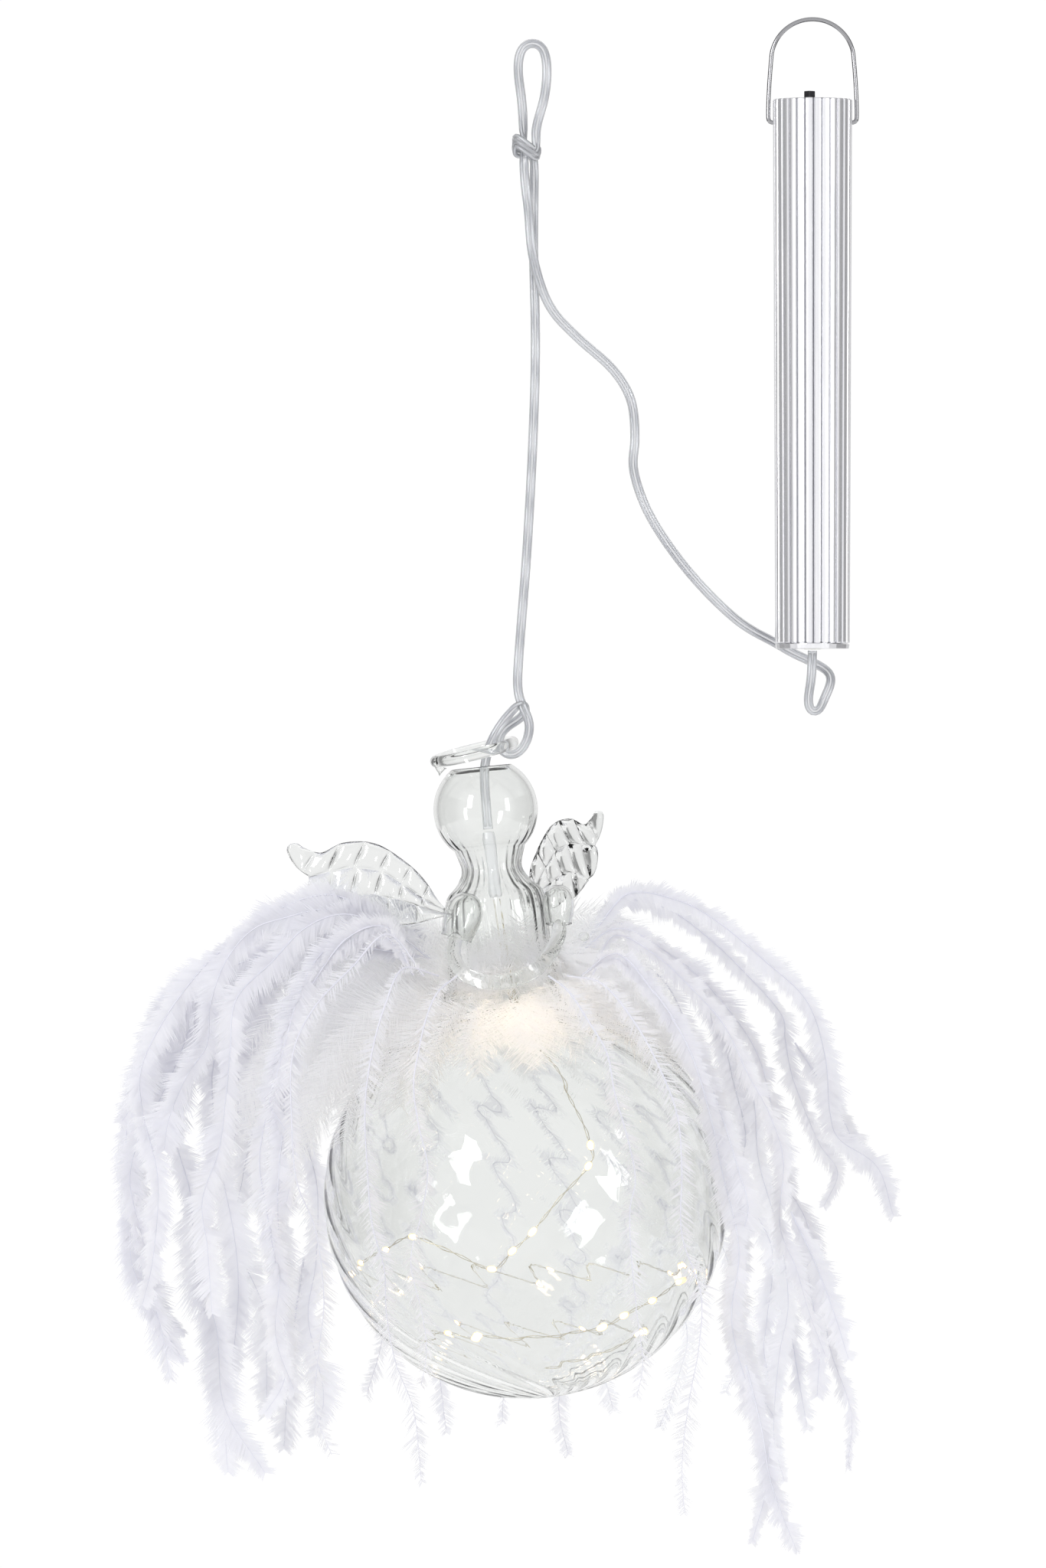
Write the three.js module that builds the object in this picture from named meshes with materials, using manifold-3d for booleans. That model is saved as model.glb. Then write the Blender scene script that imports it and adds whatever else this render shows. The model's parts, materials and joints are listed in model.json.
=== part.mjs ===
// Glass ball ornament: a hollow glass angel whose body is a clear ball, dressed with feathers, lit from
// inside by a string of tiny lamps, and hung by its own supply cord from a knotted loop.
// The cord runs on from the loop to a fluted battery tube with a wire bail and a slide switch.
//
// Millimetres, +Z up, the front of the ornament towards -Y. The origin is the top of the hanging loop.

import * as THREE from "three";
import { mergeVertices } from "three/addons/utils/BufferGeometryUtils.js";
import Module from "manifold-3d";

const wasm = await Module();
wasm.setup();

// ---- driving dimensions ------------------------------------------------------------------------

// The angel hangs a little askew: its axis leans by TILT, and it looks a quarter left of the front.
const BALL_CENTER = [-1.9, 0, -372];
const TILT = THREE.MathUtils.degToRad(-6);
const BALL_RADIUS = 64.8;
const BALL_WALL = 1.6;
const BALL_OPENING_RADIUS = 24.5;

const GLASS_WALL = 1.5;
const HEAD_RADIUS = 16.8;
const HEAD_CENTER = 125;
const HEAD_MOUTH_RADIUS = 9.2;
const BUST_FOOT = 60.4;

const WING_THICKNESS = 2.4;
const WING_AZIMUTHS = { left: 175, right: 55 };

const HALO_CENTER = [-18.6, 0, -229.5];
const HALO_ROLL = THREE.MathUtils.degToRad(-14);
const HALO_RADIUS = 12.7;
const HALO_TUBE_RADIUS = 1.7;

const ARM_ROD_RADIUS = 2.35;

// Fluff that lies on the ball's crown, and the feather plumes that arch over it.
const FLUFF_INNER = 65.4;
const FLUFF_OUTER = 70;
const PLUME_WIDTH = 10;
const PLUME_ROOT_WIDTH = 3.6;
const PLUME_THICKNESS = 1;
const PLUME_FIRST_AZIMUTH = -62;
const PLUME_AZIMUTH_STEP = 13.2;

const CORD_RADIUS = 1.5;
const CORD_SIDES = 8;
const GAP = 0.3;

// The battery tube stands beside the ornament, level with the upper cord.
const TUBE_X = 90;
const TUBE_TOP = -19.9;
const TUBE_BOTTOM = -194.6;
const TUBE_TOP_RADIUS = 12.8;
const TUBE_BOTTOM_RADIUS = 12.05;
const TUBE_BORE_RADIUS = 10.6;
const FLUTES = 28;
const FLUTE_DEPTH = 0.6;

const BAIL_PIVOT_Z = -27.3;
const BAIL_WIRE_RADIUS = 0.7;
const BAIL_HOLE_RADIUS = 1.1;
const BAIL_CROWN_RADIUS = 13.3;
const BAIL_LEG_OFFSET = 14.2;
const BAIL_CROWN_CENTER_Z = -7.4;

const CARRIER_RADIUS = 10.2;
const BATTERY_RADIUS = 7.1;
const BATTERY_LENGTH = 50.5;
const BATTERY_COUNT = 3;
const BATTERY_STACK_TOP = -29.7;

// ---- materials ---------------------------------------------------------------------------------

function finish(color, roughness, metalness = 0, opacity = 1) {
  return new THREE.MeshStandardMaterial({
    color, roughness, metalness, opacity, transparent: opacity < 1,
  });
}

const clearGlass = () => finish(0xf2f4f4, 0.03, 0, 0.35);
const whiteFeather = () => finish(0xf0f0f6, 0.9);
const clearPlastic = () => finish(0xdfe2e6, 0.25, 0, 0.6);
const silverPlastic = () => finish(0xd9dadd, 0.25, 0.8);
const blackPlastic = () => finish(0x1c1c20, 0.5);
const whitePlastic = () => finish(0xe9e9e6, 0.45);
const steel = () => finish(0xb9bbbe, 0.2, 1);
const nickel = () => finish(0xc9c6bd, 0.3, 1);
const boardGreen = () => finish(0x2d6a43, 0.5);
const batteryJacket = () => finish(0x5f6670, 0.35, 0.3);
const warmLamp = () => finish(0xffe2a8, 0.3);

// ---- geometry helpers --------------------------------------------------------------------------

// Shared vertices merged, flat triangles dropped and faces turned outwards.
function closed(geometry) {
  const bare = geometry.clone();
  for (const name of Object.keys(bare.attributes)) {
    if (name !== "position") {
      bare.deleteAttribute(name);
    }
  }
  const welded = mergeVertices(bare, 1e-4);
  const position = welded.attributes.position;
  const corners = [new THREE.Vector3(), new THREE.Vector3(), new THREE.Vector3()];
  let index = [];
  let volume = 0;
  for (let i = 0; i < welded.index.count; i += 3) {
    const [a, b, c] = [0, 1, 2].map((k) => welded.index.getX(i + k));
    if (a === b || b === c || c === a) {
      continue;
    }
    corners[0].fromBufferAttribute(position, a);
    corners[1].fromBufferAttribute(position, b);
    corners[2].fromBufferAttribute(position, c);
    volume += corners[0].dot(corners[1].clone().cross(corners[2]));
    index.push(a, b, c);
  }
  if (volume < 0) {
    index = index.reverse();
  }
  welded.setIndex(index);
  return welded;
}

function toSolid(geometry) {
  const body = closed(geometry);
  return new wasm.Manifold(new wasm.Mesh({
    numProp: 3,
    vertProperties: new Float32Array(body.attributes.position.array),
    triVerts: new Uint32Array(body.index.array),
  }));
}

function toGeometry(solid) {
  const mesh = solid.getMesh();
  const geometry = new THREE.BufferGeometry();
  geometry.setAttribute("position", new THREE.BufferAttribute(new Float32Array(mesh.vertProperties), 3));
  geometry.setIndex(new THREE.BufferAttribute(new Uint32Array(mesh.triVerts), 1));
  return geometry;
}

// A solid of revolution about +Z from [radius, height] points.
function turned(profile, segments) {
  const points = profile.map(([radius, height]) => new THREE.Vector2(Math.max(radius, 0), height));
  return new THREE.LatheGeometry(points, segments).rotateX(Math.PI / 2);
}

// Points of an arc in the radius and height plane; angles are measured from the pole in degrees.
function polarArc(radius, center, from, to, steps) {
  const points = [];
  for (let i = 0; i <= steps; i += 1) {
    const angle = THREE.MathUtils.degToRad(from + ((to - from) * i) / steps);
    points.push([radius * Math.sin(angle), center + radius * Math.cos(angle)]);
  }
  return points;
}

function roundSection(radius, sides) {
  const shape = new THREE.Shape();
  for (let i = 0; i < sides; i += 1) {
    const angle = (2 * Math.PI * (i + 0.5)) / sides;
    const [x, y] = [radius * Math.cos(angle), radius * Math.sin(angle)];
    if (i === 0) {
      shape.moveTo(x, y);
    } else {
      shape.lineTo(x, y);
    }
  }
  shape.closePath();
  return shape;
}

function tube(points, radius, sides, steps) {
  const path = new THREE.CatmullRomCurve3(points.map((point) => new THREE.Vector3(...point)));
  return new THREE.ExtrudeGeometry(roundSection(radius, sides), {
    steps, extrudePath: path, bevelEnabled: false,
  });
}

function disc(radius, thickness, segments = 24) {
  return new THREE.CylinderGeometry(radius, radius, thickness, segments).rotateX(Math.PI / 2);
}

function addPart(parent, name, geometry, material, position = [0, 0, 0]) {
  const mesh = new THREE.Mesh(closed(geometry), material);
  mesh.name = name;
  mesh.position.set(...position);
  parent.add(mesh);
  return mesh;
}

// ---- the glass angel ---------------------------------------------------------------------------

function glassBall() {
  const opening = THREE.MathUtils.radToDeg(Math.asin(BALL_OPENING_RADIUS / BALL_RADIUS));
  const outer = polarArc(BALL_RADIUS, 0, opening, 180, 12);
  const inner = polarArc(BALL_RADIUS - BALL_WALL, 0, 180, opening, 10);
  return turned([...outer, ...inner, outer[0]], 26);
}

// Head, neck, shoulders and chest, blown as one hollow piece that is open at both ends.
function glassBust() {
  const mouth = THREE.MathUtils.radToDeg(Math.asin(HEAD_MOUTH_RADIUS / HEAD_RADIUS));
  const head = polarArc(HEAD_RADIUS, HEAD_CENTER, mouth, 138, 7);
  const innerMouth = mouth - 1;
  const headInside = polarArc(HEAD_RADIUS - GLASS_WALL, HEAD_CENTER, 136, innerMouth, 6);
  const body = [
    [9.5, 106], [12, 101], [15.4, 97.6], [16.2, 92], [16.3, 80], [18, 73], [20.5, 67.4], [24.4, BUST_FOOT],
  ];
  const bodyInside = body.slice().reverse().map(([radius, height]) => [radius - GLASS_WALL, height]);
  return turned([...head, ...body, ...bodyInside, ...headInside, head[0]], 22);
}

// One pressed glass wing in the plane of radius and height.
function wing() {
  const shape = new THREE.Shape();
  const through = (points) => shape.splineThru(points.map((point) => new THREE.Vector2(...point)));
  shape.moveTo(17.4, 92.6);
  through([[30, 91], [43.4, 93.4], [48, 95.4], [52.7, 98.4]]);
  through([[57.1, 100.8], [59.4, 105.4], [59, 109.4]]);
  through([[62.7, 113], [64.8, 117.6], [64.2, 120.2], [62.2, 120.8]]);
  through([[59.4, 118.9], [54.1, 116.7], [46.5, 119.2], [36.7, 117.8], [28.3, 111.6], [22.4, 105.2],
    [18.3, 97.4]]);
  shape.closePath();
  const plate = new THREE.ExtrudeGeometry(shape, {
    depth: WING_THICKNESS - 0.8, steps: 1, curveSegments: 3,
    bevelEnabled: true, bevelThickness: 0.4, bevelSize: 0.4, bevelOffset: -0.4, bevelSegments: 1,
  });
  return plate.translate(0, 0, -(WING_THICKNESS - 0.8) / 2).rotateX(Math.PI / 2);
}

// The halo ring with the short stem that fuses it to the crown of the head.
function halo() {
  const ring = new THREE.TorusGeometry(HALO_RADIUS, HALO_TUBE_RADIUS, 8, 26).rotateY(HALO_ROLL);
  ring.translate(...HALO_CENTER);
  const stem = tube([[-31.1, 0, -232.6], [-30, 0, -234.6], [-28.9, 0, -235.9]], 1.3, 8, 2);
  return toGeometry(toSolid(ring).add(toSolid(stem)));
}

// A blown sleeve: a small bell, closed at the shoulder and open at the wrist.
function armSleeve(scale) {
  const outside = [[0, 0], [3, -0.6], [5.2, -3], [6.1, -7], [5.6, -12], [4.9, -15]];
  const inside = [[4, -15], [4.7, -12], [5.2, -7], [4.3, -3.6], [2.4, -1.8], [0, -1.4]];
  return turned([...outside, ...inside].map(([radius, height]) => [radius * scale, height]), 16);
}

function addSleeve(parent, name, shoulder, wrist, scale) {
  const mesh = addPart(parent, name, armSleeve(scale), clearGlass(), shoulder);
  const reach = new THREE.Vector3(...wrist).sub(new THREE.Vector3(...shoulder)).normalize();
  mesh.quaternion.setFromUnitVectors(new THREE.Vector3(0, 0, -1), reach);
}

function fluffCollar() {
  const outer = polarArc(FLUFF_OUTER, 0, 25, 60, 5);
  const inner = polarArc(FLUFF_INNER, 0, 60, 25, 5);
  return turned([...outer, ...inner, outer[0]], 26);
}

// Each plume: how high it rises over the collar, how far out it arches, and its tip's radius and height.
const PLUMES = [
  [68, 74, 66, -60], [72, 77, 74, -95], [80, 78, 92, -111], [84, 89, 99, -50],
  [86, 86, 111, -85], [100, 107, 115, -15], [95, 104, 99, -8], [88, 92, 94, -98],
  [84, 94, 88, -70], [80, 94, 86, -80], [90, 98, 84, -74], [86, 96, 82, -88],
  [84, 98, 80, -76], [88, 98, 84, -82], [84, 98, 88, -70], [88, 102, 94, -84],
  [94, 106, 96, -78], [98, 114, 92, -91], [80, 131, 108, -57], [96, 126, 128, -30],
  [88, 88, 87, -72], [84, 88, 66, -84], [76, 76, 60, -91], [68, 74, 66, -55],
];

// A plume is a flat ribbon that follows its arch, narrow at the root and full from a third of the way.
// It hangs straight down, and only its root end leans with the angel's axis.
function plume(index) {
  const [rise, reach, tipRadius, tipHeight] = PLUMES[index];
  const inFront = index < 4 || index > 19;
  const root = inFront ? [31, 71] : [23, 76];
  const arch = new THREE.CatmullRomCurve3([
    root,
    [Math.max(0.45 * reach, root[0] + 10), rise],
    [0.86 * reach, 0.66 * rise],
    [reach, 6],
    [tipRadius, tipHeight],
  ].map(([radius, height]) => new THREE.Vector3(radius, 0, height)));
  const azimuth = THREE.MathUtils.degToRad(PLUME_FIRST_AZIMUTH + PLUME_AZIMUTH_STEP * index);
  const ribbon = new THREE.BoxGeometry(1, 1, 1, 1, 1, 11);
  const position = ribbon.attributes.position;
  for (let i = 0; i < position.count; i += 1) {
    const along = position.getZ(i) + 0.5;
    const center = arch.getPointAt(along);
    const tangent = arch.getTangentAt(along);
    const width = THREE.MathUtils.lerp(PLUME_ROOT_WIDTH, PLUME_WIDTH, Math.min(1, along / 0.35));
    const lift = position.getY(i) * PLUME_THICKNESS;
    const side = position.getX(i) * width;
    const radius = center.x - tangent.z * lift;
    const height = center.z + tangent.x * lift;
    const lean = Math.tan(TILT) * Math.max(height, 0);
    position.setXYZ(
      i,
      radius * Math.cos(azimuth) - side * Math.sin(azimuth) + lean,
      radius * Math.sin(azimuth) + side * Math.cos(azimuth),
      height,
    );
  }
  return ribbon;
}

// The lamp string: a lead down the neck, then a spiral that lies on the inside of the ball.
function lampString() {
  const spiralRadius = 59;
  const turns = 2.6;
  const lampCount = 16;
  const points = [[0, 0, 96], [0.8, 0.4, 78], [1, 0, 62], [24, 0, 50]];
  const spiral = [];
  for (let i = 0; i <= lampCount * 2; i += 1) {
    const share = i / (lampCount * 2);
    const height = THREE.MathUtils.lerp(30, -54, share);
    const radius = Math.sqrt(spiralRadius ** 2 - height ** 2);
    const angle = 2 * Math.PI * turns * share;
    spiral.push([radius * Math.cos(angle), radius * Math.sin(angle), height]);
  }
  let string = toSolid(tube([...points, ...spiral], 0.45, 4, 64));
  const path = new THREE.CatmullRomCurve3([...points, ...spiral].map((point) => new THREE.Vector3(...point)));
  for (let i = 0; i < lampCount; i += 1) {
    const place = path.getPointAt(0.2 + (0.79 * (i + 0.5)) / lampCount);
    const lamp = new THREE.IcosahedronGeometry(1.4, 0).translate(place.x, place.y, place.z);
    string = string.add(toSolid(lamp));
  }
  return toGeometry(string);
}

function buildAngel() {
  const angel = new THREE.Group();
  angel.position.set(...BALL_CENTER);
  angel.rotation.y = TILT;

  addPart(angel, "glass_ball", glassBall(), clearGlass());
  addPart(angel, "glass_head_and_bust", glassBust(), clearGlass());
  for (const [side, azimuth] of Object.entries(WING_AZIMUTHS)) {
    const mesh = addPart(angel, `wing_${side}`, wing(), clearGlass());
    mesh.rotation.z = THREE.MathUtils.degToRad(azimuth);
  }
  addSleeve(angel, "arm_sleeve_left", [-7.8, -20.2, 99], [-13.8, -20.7, 84.5], 1);
  addSleeve(angel, "arm_sleeve_right", [20.6, -8.4, 98.5], [19.4, -10.4, 85], 0.84);
  const armRoute = [
    [-13.2, -20.6, 87], [-15, -19.8, 80], [-12.6, -20.4, 74], [-6.5, -22.9, 70.6], [1, -23.8, 69.8],
    [9.8, -21.5, 72], [15.8, -16, 77], [19.2, -11, 83], [19.6, -10.2, 87.5],
  ];
  addPart(angel, "arm_rod", tube(armRoute, ARM_ROD_RADIUS, 10, 18), clearGlass());
  addPart(angel, "fluff_collar", fluffCollar(), whiteFeather());
  addPart(angel, "clear_bead", new THREE.IcosahedronGeometry(1.75, 1), clearGlass(), [27, -13.5, 81]);
  addPart(angel, "lamp_string", lampString(), warmLamp());
  const joint = [[0, 96.5], [1.6, 96.8], [2.1, 98.5], [2.1, 115.5], [1.7, 117.4], [0, 117.6]];
  addPart(angel, "splice_sleeve", turned(joint, 12), clearPlastic());
  return angel;
}

function buildPlumes() {
  const plumes = new THREE.Group();
  plumes.position.set(...BALL_CENTER);
  PLUMES.forEach((unused, index) => {
    addPart(plumes, `plume_${String(index + 1).padStart(2, "0")}`, plume(index), whiteFeather());
  });
  return plumes;
}

// ---- the cord ----------------------------------------------------------------------------------

// The stretches of the cord, in order from the battery tube to the head.
const CORD_LEAD = [
  [90, 0, -197], [89.6, 0, -206], [89.2, 0.4, -214], [91, 1.6, -217.2], [93.4, 2.6, -212.5],
  [96.2, 4, -206.8], [95.2, 6.2, -203.6], [90.4, 10, -200.6], [84.5, 12.8, -197.8], [78.6, 13, -194.4],
  [65.9, 9, -187],
  [50.7, 4, -172], [38.1, 1, -154.2], [32.5, 0, -139], [33, 0, -128.9], [31.7, 0, -116.4],
  [25.6, 0, -106.3], [14.3, -0.6, -96.2], [5.4, -1.6, -86.1], [0.3, -2, -71], [-1.2, -1.9, -56],
  [-2.3, -1.8, -47], [-2.7, -1.7, -40.9],
];
const CORD_LOOP = [
  [-2.8, 1.7, -31.2], [-3.3, 1.2, -21.2], [-4.6, 0.4, -10], [-3.4, 0, -3.4], [0.1, 0, -1.5],
  [3.5, 0, -3.4], [4.7, -0.4, -10], [3.9, -1, -19.2], [0.4, -1.7, -31.2],
];
const CORD_DROP = [
  [0.6, 1.7, -40.9], [0.5, 1.7, -52], [0.4, 1.7, -68], [1, 0.6, -98.9], [0.2, 0, -128.9],
  [-1.7, 0, -164.3], [-4.2, 0, -197], [-4.9, 0, -209.3], [-5.2, 0, -220.5],
];
const CORD_TAIL = [
  [-12.2, 0, -229.2], [-13.6, 0, -231], [-15.2, 0, -234.8], [-15.3, 0, -240.5], [-14.8, 0, -247],
  [-14.25, 0, -254.3],
];
const KNOT_CENTER = [-1.1, 0, -36];
const HITCH_CENTER = [-6.3, 0, -226.4];

function buildCord() {
  const cord = new THREE.Group();
  const stretches = {
    cord_lead: [CORD_LEAD, 44], cord_loop: [CORD_LOOP, 14], cord_drop: [CORD_DROP, 16],
  };
  for (const [name, [route, steps]] of Object.entries(stretches)) {
    addPart(cord, name, tube(route, CORD_RADIUS, CORD_SIDES, steps), clearPlastic());
  }
  const knot = new THREE.SphereGeometry(1, 12, 8).rotateX(Math.PI / 2).scale(4.6, 4.2, 4.5);
  addPart(cord, "cord_knot", knot, clearPlastic(), KNOT_CENTER);
  const hitch = new THREE.TorusGeometry(3.9, CORD_RADIUS, CORD_SIDES, 18).rotateX(Math.PI / 2);
  addPart(cord, "cord_hitch", hitch, clearPlastic(), HITCH_CENTER);
  addPart(cord, "cord_tail", tube(CORD_TAIL, CORD_RADIUS, CORD_SIDES, 6), clearPlastic());
  return cord;
}

// ---- the battery tube --------------------------------------------------------------------------

// A fluted tube, wider at the top, with a straight bore and a cross hole for the bail's ends.
function tubeSleeve() {
  const outline = new THREE.Shape();
  const pointsPerFlute = 4;
  for (let i = 0; i < FLUTES * pointsPerFlute; i += 1) {
    const angle = (2 * Math.PI * i) / (FLUTES * pointsPerFlute);
    const radius = TUBE_TOP_RADIUS - FLUTE_DEPTH * (0.5 - 0.5 * Math.cos(FLUTES * angle));
    const [x, y] = [radius * Math.cos(angle), radius * Math.sin(angle)];
    if (i === 0) {
      outline.moveTo(x, y);
    } else {
      outline.lineTo(x, y);
    }
  }
  outline.closePath();
  outline.holes.push(new THREE.Path().absarc(0, 0, TUBE_BORE_RADIUS, 0, 2 * Math.PI, true));
  const length = TUBE_TOP - TUBE_BOTTOM;
  const body = new THREE.ExtrudeGeometry(outline, { depth: length, bevelEnabled: false, curveSegments: 15 });
  const position = body.attributes.position;
  for (let i = 0; i < position.count; i += 1) {
    const [x, y, z] = [position.getX(i), position.getY(i), position.getZ(i)];
    if (Math.hypot(x, y) > TUBE_BORE_RADIUS + GAP) {
      const draft = THREE.MathUtils.lerp(TUBE_BOTTOM_RADIUS / TUBE_TOP_RADIUS, 1, z / length);
      position.setXYZ(i, x * draft, y * draft, z);
    }
  }
  body.translate(0, 0, TUBE_BOTTOM);
  const drill = new THREE.CylinderGeometry(BAIL_HOLE_RADIUS, BAIL_HOLE_RADIUS, 40, 12).rotateZ(Math.PI / 2);
  drill.translate(0, 0, BAIL_PIVOT_Z);
  return toGeometry(toSolid(body).subtract(toSolid(drill)));
}

// A wire bow: two legs with inward ends, joined by a half circle.
function bail() {
  const leg = [
    [11.6, 0, BAIL_PIVOT_Z], [13.2, 0, BAIL_PIVOT_Z], [BAIL_LEG_OFFSET, 0, BAIL_PIVOT_Z + 1.3],
    [BAIL_LEG_OFFSET, 0, BAIL_PIVOT_Z + 5], [13.9, 0, BAIL_PIVOT_Z + 12],
  ];
  const crown = [];
  const crownSteps = 8;
  for (let i = 0; i <= crownSteps; i += 1) {
    const angle = (Math.PI * i) / crownSteps;
    const height = BAIL_CROWN_CENTER_Z + BAIL_CROWN_RADIUS * Math.sin(angle);
    crown.push([BAIL_CROWN_RADIUS * Math.cos(angle), 0, height]);
  }
  const otherLeg = leg.map(([x, y, z]) => [-x, y, z]).reverse();
  return tube([...leg, ...crown, ...otherLeg], BAIL_WIRE_RADIUS, 8, 52);
}

// An open trough that holds the cells in line.
function batteryCarrier(bottom, top) {
  const mouth = THREE.MathUtils.degToRad(52);
  const section = new THREE.Shape();
  section.absarc(0, 0, CARRIER_RADIUS, mouth, 2 * Math.PI - mouth, false);
  section.absarc(0, 0, BATTERY_RADIUS + 0.6, 2 * Math.PI - mouth, mouth, true);
  section.closePath();
  const depth = top - bottom;
  const trough = new THREE.ExtrudeGeometry(section, { depth, bevelEnabled: false, curveSegments: 14 });
  return trough.translate(0, 0, bottom).rotateZ(-Math.PI / 2);
}

function battery() {
  const nub = 1.4;
  const shoulder = BATTERY_LENGTH - nub;
  return turned([
    [0, 0], [5.6, 0], [BATTERY_RADIUS, 0.6], [BATTERY_RADIUS, shoulder - 0.6], [6.4, shoulder],
    [2.7, shoulder], [2.7, BATTERY_LENGTH], [0, BATTERY_LENGTH],
  ], 18);
}

function contactSpring(bottom, top) {
  const turns = 4;
  const points = [];
  for (let i = 0; i <= turns * 8; i += 1) {
    const share = i / (turns * 8);
    const angle = 2 * Math.PI * turns * share;
    const radius = THREE.MathUtils.lerp(5.2, 3, share);
    const height = THREE.MathUtils.lerp(bottom, top, share);
    points.push([radius * Math.cos(angle), radius * Math.sin(angle), height]);
  }
  return tube(points, 0.4, 5, turns * 9);
}

// The lid at the top of the carrier, with the slot that the switch knob runs in.
function topPlate(slotLength, slotWidth, turn) {
  const plate = disc(CARRIER_RADIUS, 1.6, 28);
  const slot = new THREE.BoxGeometry(slotLength, slotWidth, 4).rotateZ(turn);
  return toGeometry(toSolid(plate).subtract(toSolid(slot)));
}

// The plug that closes the foot of the tube: a plug, a flange and a hole for the grommet.
function bottomCap(flangeTop) {
  const hole = 3.6;
  const flange = TUBE_BOTTOM_RADIUS - 0.1;
  const plug = CARRIER_RADIUS - GAP;
  const flangeFoot = flangeTop - 1.4;
  const plugTop = flangeTop + 4.6;
  return turned([
    [hole, flangeFoot], [flange - 0.2, flangeFoot], [flange, flangeTop], [plug, flangeTop],
    [plug, plugTop], [hole, plugTop], [hole, flangeFoot],
  ], 28);
}

function grommet(flangeTop) {
  return turned([
    [0, flangeTop + 3.4], [3.2, flangeTop + 3.4], [3.2, flangeTop - 1.5], [2.6, flangeTop - 2],
    [0, flangeTop - 2],
  ], 14);
}

function buildBatteryTube() {
  const unit = new THREE.Group();
  unit.position.x = TUBE_X;
  addPart(unit, "tube_sleeve", tubeSleeve(), silverPlastic());
  addPart(unit, "wire_bail", bail(), steel());

  const knobTurn = THREE.MathUtils.degToRad(40);
  const knobTravel = 2.5;
  const knobWidth = 2.6;
  const plateTop = TUBE_TOP - 0.5;
  const plate = addPart(unit, "top_plate", topPlate(knobWidth + knobTravel + 0.8, knobWidth + 0.8, knobTurn),
    blackPlastic());
  plate.position.z = plateTop - 0.8;
  const knob = addPart(unit, "switch_knob", new THREE.BoxGeometry(knobWidth, knobWidth, 5), blackPlastic());
  const knobStart = -knobTravel / 2;
  knob.rotation.z = knobTurn;
  knob.position.set(knobStart * Math.cos(knobTurn), knobStart * Math.sin(knobTurn), TUBE_TOP + 0.2);
  const housing = addPart(unit, "switch_body", new THREE.BoxGeometry(9, 5, 3.6), steel());
  housing.rotation.z = knobTurn;
  housing.position.z = plateTop - 1.6 - 0.9 - 1.8;
  addPart(unit, "circuit_board", disc(7.2, 1), boardGreen(), [0, 0, BATTERY_STACK_TOP + 1.6]);
  addPart(unit, "contact_plate", disc(5.5, 0.4, 20), nickel(), [0, 0, BATTERY_STACK_TOP + 0.6]);

  addPart(unit, "battery_carrier", batteryCarrier(TUBE_BOTTOM + 5, plateTop - 1.9), whitePlastic());
  for (let i = 0; i < BATTERY_COUNT; i += 1) {
    const foot = BATTERY_STACK_TOP - (i + 1) * BATTERY_LENGTH - i * GAP;
    addPart(unit, `battery_${i + 1}`, battery(), batteryJacket(), [0, 0, foot]);
  }
  const stackFoot = BATTERY_STACK_TOP - BATTERY_COUNT * (BATTERY_LENGTH + GAP);
  addPart(unit, "contact_spring", contactSpring(TUBE_BOTTOM + 5.4, stackFoot - 0.5), nickel());
  addPart(unit, "bottom_cap", bottomCap(TUBE_BOTTOM - GAP), silverPlastic());
  addPart(unit, "cord_grommet", grommet(TUBE_BOTTOM - GAP + 0.3), whitePlastic());
  return unit;
}

const group = new THREE.Group();
group.add(buildAngel());
group.add(buildPlumes());
group.add(buildCord());
group.add(buildBatteryTube());
addPart(group, "halo", halo(), clearGlass());

export default group;
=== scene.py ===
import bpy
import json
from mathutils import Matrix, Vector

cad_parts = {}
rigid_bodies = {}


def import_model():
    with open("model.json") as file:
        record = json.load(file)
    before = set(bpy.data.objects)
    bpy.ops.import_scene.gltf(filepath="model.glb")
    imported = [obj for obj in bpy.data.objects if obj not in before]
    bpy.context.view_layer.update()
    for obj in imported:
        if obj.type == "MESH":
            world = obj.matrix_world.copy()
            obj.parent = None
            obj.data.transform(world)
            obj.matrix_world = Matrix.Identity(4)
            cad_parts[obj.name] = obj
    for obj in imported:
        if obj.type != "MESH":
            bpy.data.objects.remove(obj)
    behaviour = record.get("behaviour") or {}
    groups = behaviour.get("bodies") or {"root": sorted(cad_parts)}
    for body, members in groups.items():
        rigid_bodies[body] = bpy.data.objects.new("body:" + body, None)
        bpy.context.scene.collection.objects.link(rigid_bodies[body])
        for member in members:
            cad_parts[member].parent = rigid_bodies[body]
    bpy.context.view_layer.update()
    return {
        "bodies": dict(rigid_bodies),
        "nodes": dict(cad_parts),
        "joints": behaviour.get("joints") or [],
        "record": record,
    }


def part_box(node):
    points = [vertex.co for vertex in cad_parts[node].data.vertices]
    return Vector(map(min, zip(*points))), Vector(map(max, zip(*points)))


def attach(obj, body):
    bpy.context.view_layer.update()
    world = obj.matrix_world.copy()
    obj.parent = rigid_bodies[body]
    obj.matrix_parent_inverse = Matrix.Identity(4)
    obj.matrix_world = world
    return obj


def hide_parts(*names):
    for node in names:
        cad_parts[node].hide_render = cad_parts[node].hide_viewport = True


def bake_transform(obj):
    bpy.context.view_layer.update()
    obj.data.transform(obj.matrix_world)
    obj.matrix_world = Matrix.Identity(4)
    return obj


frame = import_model()

import json
import math
import random

import bmesh
import bpy
from mathutils import Matrix, Quaternion, Vector, noise

# ---- camera and studio -------------------------------------------------------------------------
# A white studio: a pale floor well below the hanging ornament, one big soft box on each side and
# darker walls left and right, which draw the grey edges that clear glass needs.

MM = 0.001
scene = bpy.context.scene
scene.view_settings.view_transform = "Standard"


def linear(hex_colour):
    """An sRGB hex colour as linear RGBA."""
    channels = [int(hex_colour[i:i + 2], 16) / 255 for i in (1, 3, 5)]
    return [c / 12.92 if c <= 0.04045 else ((c + 0.055) / 1.055) ** 2.4 for c in channels] + [1]


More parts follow.
